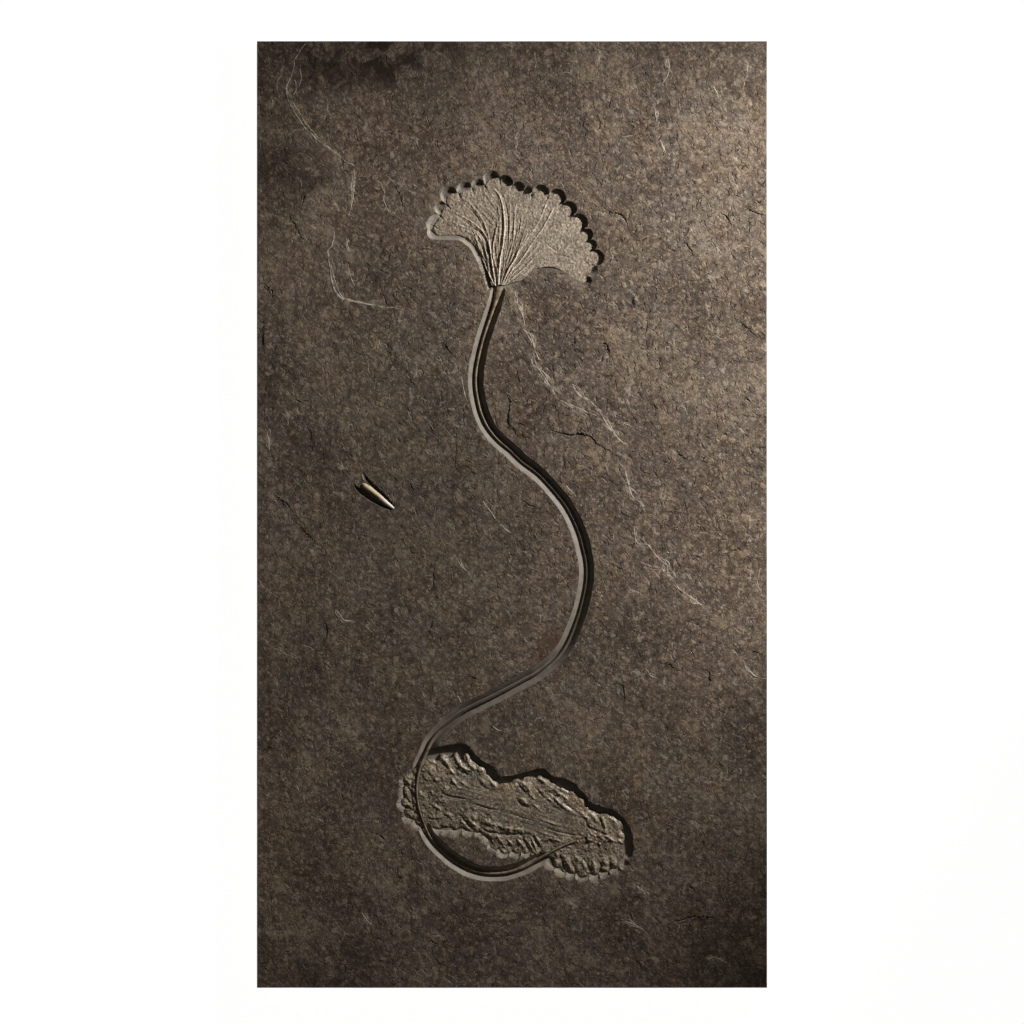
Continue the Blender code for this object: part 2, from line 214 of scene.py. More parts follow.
stemRoute = [
    (-22, 406), (-28, 380), (-36, 355), (-47, 323), (-56, 291), (-63, 255), (-64, 230),
    (-61, 206), (-54, 178), (-42, 153), (-24, 131), (-3, 113), (19, 92), (50, 68),
    (87, 26), (104, -1), (117, -30), (125, -58), (131, -87), (131, -117), (126, -145),
    (119, -172), (109, -200), (97, -227), (80, -251), (51, -276), (25, -291), (-26, -318),
    (-79, -344), (-101, -359), (-120, -375), (-140, -397), (-152, -422), (-162, -446),
    (-168, -478), (-166, -510), (-157, -541), (-142, -573), (-110, -605), (-80, -624),
    (-57, -632), (-39, -634), (-16, -633), (2, -629), (24, -621), (47, -608),
    (69, -595), (91, -584), (112, -576),
]


def turning(points):
    following = points[1:] + points[:1]
    return math.copysign(1, sum(a[0] * b[1] - b[0] * a[1] for a, b in zip(points, following)))


def arc(start, end, bow, steps):
    chord = end - start
    if abs(bow) < 0.5:
        return [start + chord * step / steps for step in range(steps)]
    side = Vector((chord.y, -chord.x)).normalized()
    half = chord.length / 2
    radius = (half**2 + bow**2) / (2 * abs(bow))
    centre = start + chord / 2 + side * (bow - math.copysign(radius, bow))
    sweep = 4 * math.atan(bow / half)
    spoke = start - centre
    points = []
    for step in range(steps):
        c, s = math.cos(sweep * step / steps), math.sin(sweep * step / steps)
        points.append(centre + Vector((spoke.x * c - spoke.y * s, spoke.x * s + spoke.y * c)))
    return points


def wallOutline(chain, atCusps, elsewhere, flatter=0):
    # the chain moved inward, by one distance at the cusps between scallops and another elsewhere;
    # the scallops on the left can be made flatter
    side = turning([p[:2] for p in chain])
    count = len(chain)
    moved, shifts = [], []
    for i, (x, y, bow) in enumerate(chain):
        before, after = chain[i - 1], chain[(i + 1) % count]
        way = (Vector(after[:2]) - Vector((x, y))).normalized()
        way += (Vector((x, y)) - Vector(before[:2])).normalized()
        inward = Vector((-way.y, way.x)).normalized() * side
        shifts.append(atCusps if min(bow, before[2]) >= scallopBow else elsewhere)
        moved.append(Vector((x, y)) + inward * shifts[-1])
    points = []
    for i, (_, _, bow) in enumerate(chain):
        j = (i + 1) % count
        newBow = bow
        if bow >= scallopBow:
            newBow = bow - elsewhere + (shifts[i] + shifts[j]) / 2
            newBow = max(newBow - flatter * (1 - ease(chain[i][0], 0, 50)), 1)
        corners = 18 if bow > 12 else 12 if bow >= scallopBow else 4
        points += arc(moved[i], moved[j], newBow * side, corners)
    return [tuple(p) for p in points]


def inset(points, distance):
    side = turning(points)
    points = [Vector(p) for p in points]
    moved = []
    for i, point in enumerate(points):
        arriving = (point - points[i - 1]).normalized()
        leaving = (points[(i + 1) % len(points)] - point).normalized()
        way = (arriving + leaving).normalized()
        sharpness = max(way.dot(leaving), 0.5)
        moved.append(tuple(point + Vector((-way.y, way.x)) * side * distance / sharpness))
    return moved


# the fossil in the lower pit has its own ragged outline
crownShape = lineFromGrid([
    (425, 760), (428, 758), (431, 758), (434, 759.5), (437, 761), (439, 757), (440, 754),
    (443, 753.5), (447, 756), (449, 759), (452, 757), (454, 753), (457, 752), (459, 756),
    (461, 760), (463, 756), (465, 753), (468, 752), (470, 754), (471, 759), (474, 761), (477, 762),
    (479, 766), (482, 766), (484, 767), (486, 770), (486, 774), (490, 777), (493, 780), (497, 782),
    (499, 785), (501, 783.5), (505, 783), (508, 784), (510, 783), (512, 782), (514, 779),
    (517, 778.5), (520, 780), (522, 781), (524, 778), (527, 776.5), (530, 777), (533, 777),
    (536, 778), (538, 775.5), (541, 775), (544, 776.5), (547, 778), (549, 776.5), (550.5, 779),
    (551, 782), (554, 783), (557, 786), (560, 788), (563, 788), (566, 790), (569, 791.5),
    (573, 791), (576, 793), (579, 797), (582, 798), (585, 799), (586.5, 803), (586, 806),
    (588, 807), (590, 810), (593, 811), (597, 813), (600, 814.5), (603, 813), (606, 812.5),
    (609, 815), (613, 816), (616, 818), (620, 820), (623, 824), (623.5, 828), (621.5, 831),
    (624, 834), (625, 838), (624, 842), (622.5, 846), (622, 849), (624, 853), (624, 857),
    (621, 860), (619, 862), (619.5, 866), (616, 869), (612, 869), (610, 870), (607, 872.5),
    (603, 872), (600, 870.5), (598, 874), (595, 876), (591, 874.5), (589, 874), (586, 877.5),
    (581, 878.5), (578, 876.5), (577, 873), (574, 874.5), (570, 873.5), (568, 872), (565, 873),
    (562, 871), (560, 867.5), (557, 868.5), (553, 866.5), (551, 862), (549, 857), (545, 855),
    (540, 853), (537, 855.5), (533, 854), (530, 851), (528, 853.5), (524, 854), (521, 851),
    (519, 853.5), (515, 854), (512, 850.5), (509, 853), (505, 854.5), (501, 853), (498.5, 849),
    (495, 850), (491, 848), (489, 843), (488, 839), (485, 836.5), (482, 835.5), (480.5, 832.5),
    (477, 833), (473, 832), (469, 831.5), (466, 830.5), (463, 829), (460, 828.5), (457, 830),
    (453, 829.5), (451, 828), (448, 827.5), (445, 826.5), (442, 828.5), (439, 829.5), (436, 829.5),
    (433, 828), (429, 827), (424, 826), (420, 826.5), (416.5, 824.5), (414.5, 820), (412, 818.5),
    (407, 818), (404, 815), (403.5, 811), (405.5, 808), (402, 806), (400.5, 802), (402, 798.5),
    (405.5, 796.5), (403, 793), (402.5, 788), (405, 785), (403, 782), (403.5, 778), (407, 774.5),
    (411, 772), (415, 768), (420, 764),
])

fanFoot = wallOutline(fanRim, 1, 11, 5.5)
crownFoot = wallOutline(crownRim, 7.5, 13)
fanEdge = wallOutline(fanRim, -8, 0)
crownEdge = wallOutline(crownRim, 0, 0)
stemPlan = smoothPath(stemRoute, 6)


def clearSelection():
    if bpy.context.mode != "OBJECT":
        bpy.ops.object.mode_set(mode="OBJECT")
    bpy.ops.object.select_all(action="DESELECT")


def choose(piece):
    clearSelection()
    piece.select_set(True)
    bpy.context.view_layer.objects.active = piece


def applyAll(piece):
    choose(piece)
    for modifier in list(piece.modifiers):
        bpy.ops.object.modifier_apply(modifier=modifier.name)


def coordinates(piece):
    flat = np.empty(len(piece.data.vertices) * 3, np.float32)
    piece.data.vertices.foreach_get("co", flat)
    return flat.reshape(-1, 3).astype(float)


def setCoordinates(piece, points):
    piece.data.vertices.foreach_set("co", points.astype(np.float32).ravel())
    piece.data.update()


def gridSheet(name, columns, rows, lowX, highX, lowY, highY):
    # a flat grid over a rectangle of the face, in millimetres until it is finished
    clearSelection()
    bpy.ops.mesh.primitive_grid_add(x_subdivisions=columns, y_subdivisions=rows, size=2)
    sheet = bpy.context.object
    sheet.name = name
    points = coordinates(sheet)
    points[:, 0] = lowX + (highX - lowX) * (points[:, 0] + 1) / 2
    points[:, 1] = lowY + (highY - lowY) * (points[:, 1] + 1) / 2
    setCoordinates(sheet, points)
    return sheet


def closeBelow(sheet, floor):
    # draws the border of a sheet down to the floor height and fills it in
    choose(sheet)
    bpy.ops.object.mode_set(mode="EDIT")
    bpy.ops.mesh.select_mode(type="EDGE")
    bpy.ops.mesh.select_all(action="DESELECT")
    bpy.ops.mesh.select_non_manifold(
        extend=False, use_wire=False, use_boundary=True, use_multi_face=False,
        use_non_contiguous=False, use_verts=False,
    )
    bpy.ops.mesh.extrude_edges_move()
    shape = bmesh.from_edit_mesh(sheet.data)
    for vert in shape.verts:
        if vert.select:
            vert.co.z = floor
    bmesh.update_edit_mesh(sheet.data)
    bpy.ops.mesh.edge_face_add()
    bpy.ops.mesh.select_all(action="SELECT")
    bpy.ops.mesh.normals_make_consistent(inside=False)
    bpy.ops.object.mode_set(mode="OBJECT")


def placed(name, data):
    made = bpy.data.objects.new(name, data)
    bpy.context.scene.collection.objects.link(made)
    return made


def built(name, shape):
    # a closed shape made an object, with its faces turned outwards
    bmesh.ops.recalc_face_normals(shape, faces=shape.faces)
    mesh = bpy.data.meshes.new(name)
    shape.to_mesh(mesh)
    shape.free()
    return placed(name, mesh)


def loft(name, levels):
    # a closed cutter through outlines of equally many points, each at its own height
    shape = bmesh.new()
    rings = []
    for outline, z in levels:
        heights = z if isinstance(z, list) else [z] * len(outline)
        rings.append([shape.verts.new((*p, h)) for p, h in zip(outline, heights)])
    for upper, lower in zip(rings, rings[1:]):
        for i in range(len(upper)):
            j = (i + 1) % len(upper)
            shape.faces.new((upper[i], upper[j], lower[j]))
            shape.faces.new((upper[i], lower[j], lower[i]))
    shape.faces.new(rings[0])
    shape.faces.new(rings[-1])
    bmesh.ops.triangulate(shape, faces=[f for f in shape.faces if len(f.verts) > 3])
    return built(name, shape)


def cutWith(piece, cutters, operation="DIFFERENCE"):
    for cutter in cutters:
        modifier = piece.modifiers.new(cutter.name, "BOOLEAN")
        modifier.operation = operation
        modifier.object = cutter
        modifier.solver = "MANIFOLD"
    applyAll(piece)
    piece.data.materials.clear()
    for cutter in cutters:
        bpy.data.objects.remove(cutter, do_unlink=True)


def tube(name, path, radii, resolution):
    # a round tube with filled ends, as a mesh in millimetres
    curve = bpy.data.curves.new(name, "CURVE")
    curve.dimensions = "3D"
    curve.bevel_depth = 1
    curve.bevel_resolution = resolution
    curve.use_fill_caps = True
    spline = curve.splines.new("POLY")
    spline.points.add(len(path) - 1)
    for target, p, radius in zip(spline.points, path, radii):
        target.co = (*p, 1)
        target.radius = radius
    choose(placed(name, curve))
    bpy.ops.object.convert(target="MESH")
    bpy.ops.object.mode_set(mode="EDIT")
    bpy.ops.mesh.select_all(action="SELECT")
    bpy.ops.mesh.remove_doubles(threshold=0.001)
    bpy.ops.mesh.normals_make_consistent(inside=False)
    bpy.ops.object.mode_set(mode="OBJECT")
    return bpy.context.object


def sweptCutter(name, path, profile, widths=None, sink=True):
    # a section carried along a path: profile is (across, height), path is on the face;
    # with widths it also gets shallower where it is narrow, unless sink is off
    shape = bmesh.new()
    rings = []
    for i, p in enumerate(path):
        ahead, behind = path[min(i + 1, len(path) - 1)], path[max(i - 1, 0)]
        way = Vector((ahead[0] - behind[0], ahead[1] - behind[1])).normalized()
        side = Vector((-way.y, way.x))
        wide = widths[i] if widths else 1
        deep = slab["face"]
        ring = []
        for across, height in profile:
            z = deep + (height - deep) * wide if widths and sink and height < deep else height
            ring.append(shape.verts.new((p[0] + side.x * across * wide,
                                         p[1] + side.y * across * wide, z)))
        rings.append(ring)
    for one, two in zip(rings, rings[1:]):
        for i in range(len(profile)):
            j = (i + 1) % len(profile)
            shape.faces.new((one[i], one[j], two[j], two[i]))
    shape.faces.new(rings[0])
    shape.faces.new(rings[-1])
    return built(name, shape)


def finish(piece, node, slotName, *materials, angle=35):
    # millimetres to metres, smooth shading, and its place in the frame
    setCoordinates(piece, coordinates(piece) * mm)
    choose(piece)
    bpy.ops.object.shade_smooth_by_angle(angle=math.radians(angle))
    if not piece.data.materials:
        for material in materials:
            piece.data.materials.append(material)
    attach(piece, "root")
    if node:
        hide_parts(node)
    print(f"{piece.name}: {len(piece.data.polygons)} faces")


class Wire:
    # a shader socket, so that sums on values add their own nodes
    def __init__(self, socket, spread="3D"):
        self.socket = socket
        self.spread = spread  # 2D for a pattern that only varies over the face

    def node(self, kind, settings=None, inputs=None, output=0):
        tree = self.socket.id_data
        node = tree.nodes.new(kind)
        for key, value in (settings or {}).items():
            if key == "stops":
                ramp = node.color_ramp
                while len(ramp.elements) < len(value):
                    ramp.elements.new(1)
                for element, (position, colour) in zip(ramp.elements, value):
                    element.position = position
                    element.color = colour
            else:
                setattr(node, key, value)
        for key, value in (inputs or {}).items():
            if isinstance(value, Wire):
                tree.links.new(value.socket, node.inputs[key])
            else:
                node.inputs[key].default_value = value
        return Wire(node.outputs[output], self.spread)

    def math(self, operation, first, second=0.0):
        return self.node("ShaderNodeMath", {"operation": operation}, {0: first, 1: second})

    def __add__(self, other):
        return self.math("ADD", self, other)

    def __radd__(self, other):
        return self.math("ADD", other, self)

    def __sub__(self, other):
        return self.math("SUBTRACT", self, other)

    def __rsub__(self, other):
        return self.math("SUBTRACT", other, self)

    def __mul__(self, other):
        return self.math("MULTIPLY", self, other)

    def __rmul__(self, other):
        return self.math("MULTIPLY", other, self)

    def __pow__(self, other):
        return self.math("POWER", self, other)

    def most(self, other):
        return self.math("MAXIMUM", self, other)

    def between(self, low, high, start=0.0, end=1.0):
        # a soft step from start to end as this value goes from low to high
        return self.node(
            "ShaderNodeMapRange", {"interpolation_type": "SMOOTHSTEP"},
            {"Value": self, "From Min": low, "From Max": high, "To Min": start, "To Max": end},
        )

    def stretched(self, x, y, z=1.0, turn=0.0):
        # turned first, then drawn out: a small number makes the pattern long that way
        return self.node(
            "ShaderNodeMapping", {"vector_type": "TEXTURE"},
            {"Vector": self, "Rotation": (0, 0, turn), "Scale": (1 / x, 1 / y, 1 / z)},
        )

    def noise(self, size, detail=3.0, rough=0.55, bend=0.0, shift=0.0):
        # size in millimetres; shift picks another part of the pattern
        place = self
        if shift:
            place = self.node(
                "ShaderNodeVectorMath", {"operation": "ADD"}, {0: self, 1: (shift, shift * 0.7, 0)}
            )
        return place.node(
            "ShaderNodeTexNoise", {"noise_dimensions": self.spread},
            {"Vector": place, "Scale": 1000 / size, "Detail": detail, "Roughness": rough,
             "Distortion": bend},
        )

    def cells(self, size, feature="F1", output="Distance"):
        return self.node(
            "ShaderNodeTexVoronoi", {"feature": feature, "voronoi_dimensions": self.spread},
            {"Vector": self, "Scale": 1000 / size}, output,
        )

    def part(self, channel):
        return self.node("ShaderNodeSeparateColor", {}, {"Color": self}, channel)

    def size(self):
        return self.math("ABSOLUTE", self)

    def pushed(self, amount, size):
        # the place moved about by up to amount, in waves of the given size, both in millimetres
        wave = self.node(
            "ShaderNodeTexNoise", {"noise_dimensions": self.spread},
            {"Vector": self, "Scale": 1000 / size, "Detail": 1.0}, "Color",
        )
        centred = self.node("ShaderNodeVectorMath", {"operation": "SUBTRACT"},
                            {0: wave, 1: (0.5, 0.5, 0.5)})
        return self.node("ShaderNodeVectorMath", {"operation": "MULTIPLY_ADD"},
                         {0: centred, 1: (amount * mm * 2,) * 3, 2: self})

    def spot(self, x, y, reach, soft):
        # 1 within reach of a place on the face, fading to 0 over soft; all in millimetres
        flat = self.node(
            "ShaderNodeVectorMath", {"operation": "MULTIPLY"}, {0: self, 1: (1, 1, 0)}
        )
        apart = flat.node(
            "ShaderNodeVectorMath", {"operation": "DISTANCE"},
            {0: flat, 1: (x * mm, y * mm, 0)}, "Value",
        )
        return apart.between(reach * mm, (reach + soft) * mm, 1.0, 0.0)

    def spots(self, marks):
        # several spots as one mask: place, reach and softness of each, and its strength if not 1
        total = 0.0
        for x, y, reach, soft, *strength in marks:
            one = self.spot(x, y, reach, soft)
            total = (one * strength[0] if strength else one).most(total)
        return total

    def upTheFace(self):
        # how far up the face, in metres from the middle
        return self.node("ShaderNodeSeparateXYZ", {}, {"Vector": self}, "Y")

    def attribute(self, name):
        return self.node("ShaderNodeAttribute", {"attribute_name": name}, {}, "Fac")

    def tint(self, stops):
        return self.node("ShaderNodeValToRGB", {"stops": stops}, {"Fac": self})


def mixColour(amount, under, over, blend="MIX"):
    wire = amount if isinstance(amount, Wire) else under
    return wire.node(
        "ShaderNodeMix", {"data_type": "RGBA", "blend_type": blend},
        {0: amount, 6: under, 7: over}, 2,
    )


def shaded(amount, colour, factor):
    # the colour times another, where amount is 1
    return mixColour(amount, colour, factor, "MULTIPLY")


def tone(red, green, blue):
    # a screen colour, 0..255, as the light it stands for
    parts = [c / 255 for c in (red, green, blue)]
    return (*[c / 12.92 if c <= 0.04045 else ((c + 0.055) / 1.055) ** 2.4 for c in parts], 1)


def newMaterial(name, spread="3D"):
    made = bpy.data.materials.new(name)
    made.use_nodes = True
    tree = made.node_tree
    shader = tree.nodes["Principled BSDF"]
    place = tree.nodes.new("ShaderNodeTexCoord")
    return made, shader, Wire(place.outputs["Object"], spread)


def plug(shader, **inputs):
    for key, value in inputs.items():
        socket = shader.inputs[key.replace("_", " ")]
        if isinstance(value, Wire):
            shader.id_data.links.new(value.socket, socket)
        else:
            socket.default_value = value


def bump(height, distance, strength=1.0):
    return height.node(
        "ShaderNodeBump", {}, {"Strength": strength, "Distance": distance * mm, "Height": height},
        "Normal",
    )


shaleLook = dict(
    dark=tone(66, 56, 48), middle=tone(105, 93, 82), pale=tone(154, 140, 123),
    flake=tone(158, 139, 116), chalk=tone(206, 194, 176), deepStain=tone(46, 32, 22),
    rust=tone(92, 66, 50),
    plates=0.3, chips=0.27, crumbs=0.19, dust=0.2, relief=0.46, hairs=0.15, nicks=1.2,
    flakes=0.3, plateSize=46, chipSize=12, crumbSize=5.2, dustSize=2.1, lean=-48,
    cloudSize=150, mottleSize=12, nickShade=0.14, hairTone=0.36, brownTone=0.5, hazeTone=0.55,
    smearTone=0.7,
)


def makeShale():
    look = shaleLook
    made, shader, place = newMaterial("shale", "2D")
    # broken plates of bedding at four sizes, each a little higher or lower than the next
    bent = place.pushed(2.6, 16)
    crumpled = bent.pushed(0.5, 4)
    leaned = crumpled.stretched(0.62, 1.0, 1.0, math.radians(look["lean"]))
    plates = leaned.cells(look["plateSize"], "F1", "Color")
    chips = leaned.cells(look["chipSize"], "F1", "Color")
    crumbs = leaned.cells(look["crumbSize"], "F1", "Color")
    dust = place.cells(look["dustSize"], "F1", "Color")
    height = plates.part("Red") * look["plates"] + chips.part("Green") * look["chips"]
    height = height + crumbs.part("Blue") * look["crumbs"] + dust.part("Red") * look["dust"]
    height = height + leaned.noise(7, 4, 0.62, 0, 11) * look["relief"]
    # short jagged cracks along the borders of long cells, most of them running down to the right
    patches = place.noise(26, 3, 0.6, 0, 4)
    nicks = 0.0
    for turn, size, shift in ((-60, 13, 0), (-38, 9, 40), (-84, 17, 90)):
        drawn = crumpled.stretched(0.45, 1.0, 1.0, math.radians(turn))
        border = drawn.cells(size, "DISTANCE_TO_EDGE").between(0.03, 0.1, 1.0, 0.0)
        picked = place.noise(14, 1, 0.5, 0, shift + 14).between(0.6, 0.64)
        nicks = (border * picked).most(nicks)
    nicks = nicks * patches.between(0.4, 0.56, 1.0, 0.45)
    # the face is more rugged towards the upper right
    rugged = place.spot(280, 330, 220, 480) * 0.5 + 0.34
    # fine pale hairs of calcite
    hairs = 0.0
    for turn, size, shift in ((-50, 19, 3), (-72, 26, 50), (-25, 22, 80)):
        drawn = bent.stretched(0.32, 1.0, 1.0, math.radians(turn))
        line = (drawn.noise(size, 1, 0.5, 0, shift) - 0.5).size().between(0.004, 0.024, 1.0, 0.0)
        picked = place.noise(24, 1, 0.5, 0, shift + 40).between(0.64, 0.7)
        hairs = (line * picked).most(hairs)
    height = height * rugged + hairs * look["hairs"] - nicks * rugged * look["nicks"]
    # colour: broad clouds, mottling, and each plate, chip, crumb and grain its own tone
    blotch = place.noise(look["cloudSize"], 3, 0.55)
    mottle = place.noise(look["mottleSize"], 4, 0.7, 0, 7)
    value = blotch * 0.25 + mottle * 0.4 + plates.part("Green") * 0.04 + chips.part("Red") * 0.05
    bright = crumbs.part("Green") ** 4 * 0.1 + dust.part("Green") ** 8 * 0.2
    # the nicks are also painted dark: painted shade in the cracks
    value = value + bright + dust.part("Blue") * 0.08 - nicks * rugged * look["nickShade"] + 0.05
    colour = value.tint([(0.34, look["dark"]), (0.5, look["middle"]), (0.68, look["pale"])])
    # some plates and chips are browner, some greyer
    for pick, warm in ((plates, (1.01, 0.98, 0.95, 1)), (chips, (1.02, 0.985, 0.95, 1))):
        tint = mixColour(pick.part("Blue").between(0.35, 0.65), (0.99, 0.99, 1.0, 1), warm)
        colour = shaded(1.0, colour, tint)
    # browner patches with ragged edges
    brown = place.noise(62, 5, 0.7, 0.3, 33).between(0.5, 0.58)
    colour = shaded(brown * look["brownTone"], colour, (0.84, 0.77, 0.72, 1))
    # beige flakes of three sizes, each with its own radius
    for size, keep, amount in ((46, 0.82, 0.45), (17, 0.62, 0.5), (9, 0.5, 0.6)):
        pick = crumpled.cells(size, "F1", "Color")
        radius = pick.part("Green") * 0.3 + 0.08
        inside = (radius - crumpled.cells(size)).between(0.0, 0.07)
        flakes = inside * pick.part("Red").between(keep, keep + 0.02) * amount
        colour = mixColour(flakes * mottle.between(0.4, 0.52, 0.25, 1.0), colour, look["flake"])
        height = height + flakes * look["flakes"]
    colour = mixColour(hairs * look["hairTone"], colour, look["chalk"])
    # fine calcite dust beside the veins
    haze = place.attribute("veinHaze")
    dusty = crumpled.stretched(0.3, 1.0, 1.0, math.radians(-50)).noise(5, 3, 0.7, 0, 21)
    haze = haze * dusty.between(0.46, 0.66) * look["hazeTone"]
    colour = mixColour(haze, colour, look["chalk"])
    # broad areas made darker or paler: partly the stone's weathered tone, partly painted light and
    # shade
    for x, y, reach, soft, shade in shaleTonesAndLight:
        tint = (shade, shade * 0.99, shade * 0.98, 1)
        colour = shaded(place.spot(x, y, reach, soft), colour, tint)
    # dark brown staining along the top edge and in patches
    cloud = place.noise(46, 3, 0.62, 0.6, 2)
    stains = place.spots(shaleStains) * cloud.between(0.36, 0.6)
    colour = mixColour(stains, colour, look["deepStain"])
    smears = place.spots(rustSmears) * cloud.between(0.3, 0.55) * look["smearTone"]
    colour = mixColour(smears, colour, look["rust"])
    plug(shader, Base_Color=colour, Roughness=0.78, Normal=bump(height, 1.0))
    shader.inputs["Specular IOR Level"].default_value = 0.35
    return made


sawnLook = dict(dark=tone(62, 53, 45), middle=tone(98, 87, 77), pale=tone(140, 128, 115))


def makeSawnShale():
    # the cut sides show the layers edge on
    made, shader, place = newMaterial("sawn shale")
    layers = place.stretched(0.12, 0.12, 1.6).noise(5, 3, 0.6, 0.4)
    cloud = place.noise(30, 3, 0.6)
    value = layers * 0.6 + cloud * 0.4
    colour = value.tint([(0.36, sawnLook["dark"]), (0.5, sawnLook["middle"]), (0.64, sawnLook["pale"])])
    plug(shader, Base_Color=colour, Roughness=0.7, Normal=bump(layers + cloud * 0.5, 0.35))
    return made


# broad areas, partly weathered tone and partly painted light and shade: place, full reach, softness,
# and how dark (under 1) or pale (over 1)
shaleTonesAndLight = [
    (-140, 60, 60, 230, 0.78), (410, -120, 40, 220, 1.22), (440, -760, 60, 230, 0.95),
    (-300, 650, 30, 160, 1.2), (-440, 640, 30, 110, 0.8), (-430, -560, 40, 220, 1.14),
]
# stains: place, full reach, softness, strength
shaleStains = [
    (-300, 800, 40, 70, 0.7), (-215, 825, 50, 50, 0.9), (-130, 800, 20, 60, 0.8),
    (-395, 600, 20, 60, 0.5), (-352, 590, 12, 30, 0.6), (380, -800, 40, 60, 0.5),
    (-300, -830, 60, 60, 0.5), (395, 768, 10, 30, 0.5),
]
rustSmears = [(-150, -410, 8, 26), (-160, -440, 6, 24), (78, -226, 8, 26), (60, -245, 6, 26)]


# painted light: the walls below the lower crown, which face the lamp, are coloured paler: place, reach,
# softness
crownWallsLit = [
    (-196, -490, 26, 14), (-176, -540, 22, 14), (-110, -566, 22, 14), (-64, -570, 16, 14),
    (-20, -602, 24, 14), (30, -604, 18, 14), (84, -634, 22, 14), (130, -642, 24, 14),
    (180, -634, 22, 14),
]
# painted shade: the wall along the hollow lower edge of the upper crown is coloured dark
fanLedgeShade = [
    (34, 412, 13, 12), (60, 424, 13, 12), (86, 418, 13, 12), (110, 404, 13, 12),
    (128, 398, 13, 12),
]
wallLook = dict(
    # ledge, the last colour on this line, is painted shade for the lower edge of the upper crown
    pale=tone(156, 147, 135), dull=tone(136, 127, 115), ledge=tone(82, 72, 61),
    # this last colour is painted shade for the scallops and cusps
    paintedShade=tone(70, 59, 48),
)


def paintedShadePlaces():
    # painted shade in the upper right of the scallops on the left and in the cusps of the lower pit
    for (x, y, bow), (endX, endY, _) in zip(fanRim, fanRim[1:]):
        if bow >= scallopBow and y > 505 and x < -20:
            out = Vector((y - endY, endX - x)).normalized() * 0.55 * bow
            yield (x + endX) / 2 + out.x + 3, (y + endY) / 2 + out.y + 2, 0.32 * bow, 5
    for i, (x, y, bow) in enumerate(crownRim):
        if min(bow, crownRim[i - 1][2]) >= scallopBow and y + 0.33 * x < -520:
            yield x + 1, y + 3, 0.6, 3.6


def makeGroundRock():
    made, shader, place = newMaterial("ground rock")
    cloud = place.noise(12, 3, 0.5)
    colour = cloud.tint([(0.35, wallLook["dull"]), (0.65, wallLook["pale"])])
    # painted shade along the hollow lower edge of the upper crown
    colour = mixColour(place.spots(fanLedgeShade) * 0.9, colour, wallLook["ledge"])
    # painted shade: dark brown in the scallops of the upper pit and the cusps of the lower pit
    colour = mixColour(place.spots(paintedShadePlaces()) * 0.7, colour, wallLook["paintedShade"])
    # painted light: the walls below the lower crown are made paler
    colour = shaded(place.spots(crownWallsLit), colour, (1.24, 1.23, 1.21, 1))
    # it is duller in the channel, between the two pits
    up = place.upTheFace()
    channel = up.between(-0.42, -0.37) * up.between(0.36, 0.4, 1.0, 0.0)
    colour = shaded(channel, colour, (0.74, 0.73, 0.74, 1))
    height = place.noise(3.5, 2, 0.5)
    plug(shader, Base_Color=colour, Roughness=0.7, Normal=bump(height, 0.12))
    return made


crownLook = dict(
    dark=tone(117, 102, 86), middle=tone(154, 139, 122), pale=tone(189, 174, 155), relief=0.8,
    # crest and hollow colour the crests and hollows: partly rubbed wear and dirt, partly painted
    # highlight and painted shade
    crest=tone(228, 214, 195), rubbedAndHighlit=0.85, hollow=tone(92, 79, 66), dirtAndShade=0.2,
)


def makeCrownCalcite():
    look = crownLook
    made, shader, place = newMaterial("crown calcite")
    bent = place.pushed(2.0, 6)
    grains = bent.cells(3.1, "F1", "Color")
    value = place.noise(26, 4, 0.6) * 0.4 + place.noise(4.0, 3, 0.7, 0, 3) * 0.6
    value = value + grains.part("Red") ** 2 * 0.16 - 0.055
    colour = value.tint([(0.36, look["dark"]), (0.5, look["middle"]), (0.64, look["pale"])])
    # the left lobes are paler
    colour = shaded(place.spot(-118, 520, 30, 90), colour, (1.15, 1.14, 1.12, 1))
    # painted highlight on the crests and painted shade in the hollows, mixed with wear and dirt
    colour = wornAndShaded(place, colour, look)
    height = grains.part("Green") * 0.5 + place.noise(2.8, 3, 0.7, 0, 5) * 0.5
    plug(shader, Base_Color=colour, Roughness=0.72, Normal=bump(height, look["relief"]))
    return made


# the last colour is painted shade for the stem in the channel
stemLook = dict(dark=tone(106, 90, 73), pale=tone(160, 143, 120), paintedStemShade=tone(74, 63, 51))


def makeStemCalcite():
    made, shader, place = newMaterial("stem calcite")
    value = place.noise(9, 3, 0.6)
    colour = value.tint([(0.35, stemLook["dark"]), (0.65, stemLook["pale"])])
    # painted shade: it is darker in the long bend between the crowns, where it lies in the channel's
    # shadow
    up = place.upTheFace()
    paintedStemShade = up.between(0.06, 0.18, 1.0, 0.0) * up.between(-0.4, -0.36)
    colour = mixColour(paintedStemShade * 0.85, colour, stemLook["paintedStemShade"])
    plug(shader, Base_Color=colour, Roughness=0.5, Normal=bump(place.noise(2.5, 2), 0.25))
    return made


pyriteLook = dict(
    dark=tone(95, 84, 69), middle=tone(131, 117, 98), pale=tone(176, 160, 137),
    blue=tone(100, 103, 104), rust=tone(150, 112, 78), bead=tone(118, 96, 78), relief=0.6,
    # crest and hollow colour the crests, bright specks and hollows: partly rubbed wear and dirt, partly
    # painted highlight, painted glints and painted shade
    crest=tone(230, 213, 187), rubbedAndHighlit=0.72, hollow=tone(80, 69, 57), dirtAndShade=0.05,
)


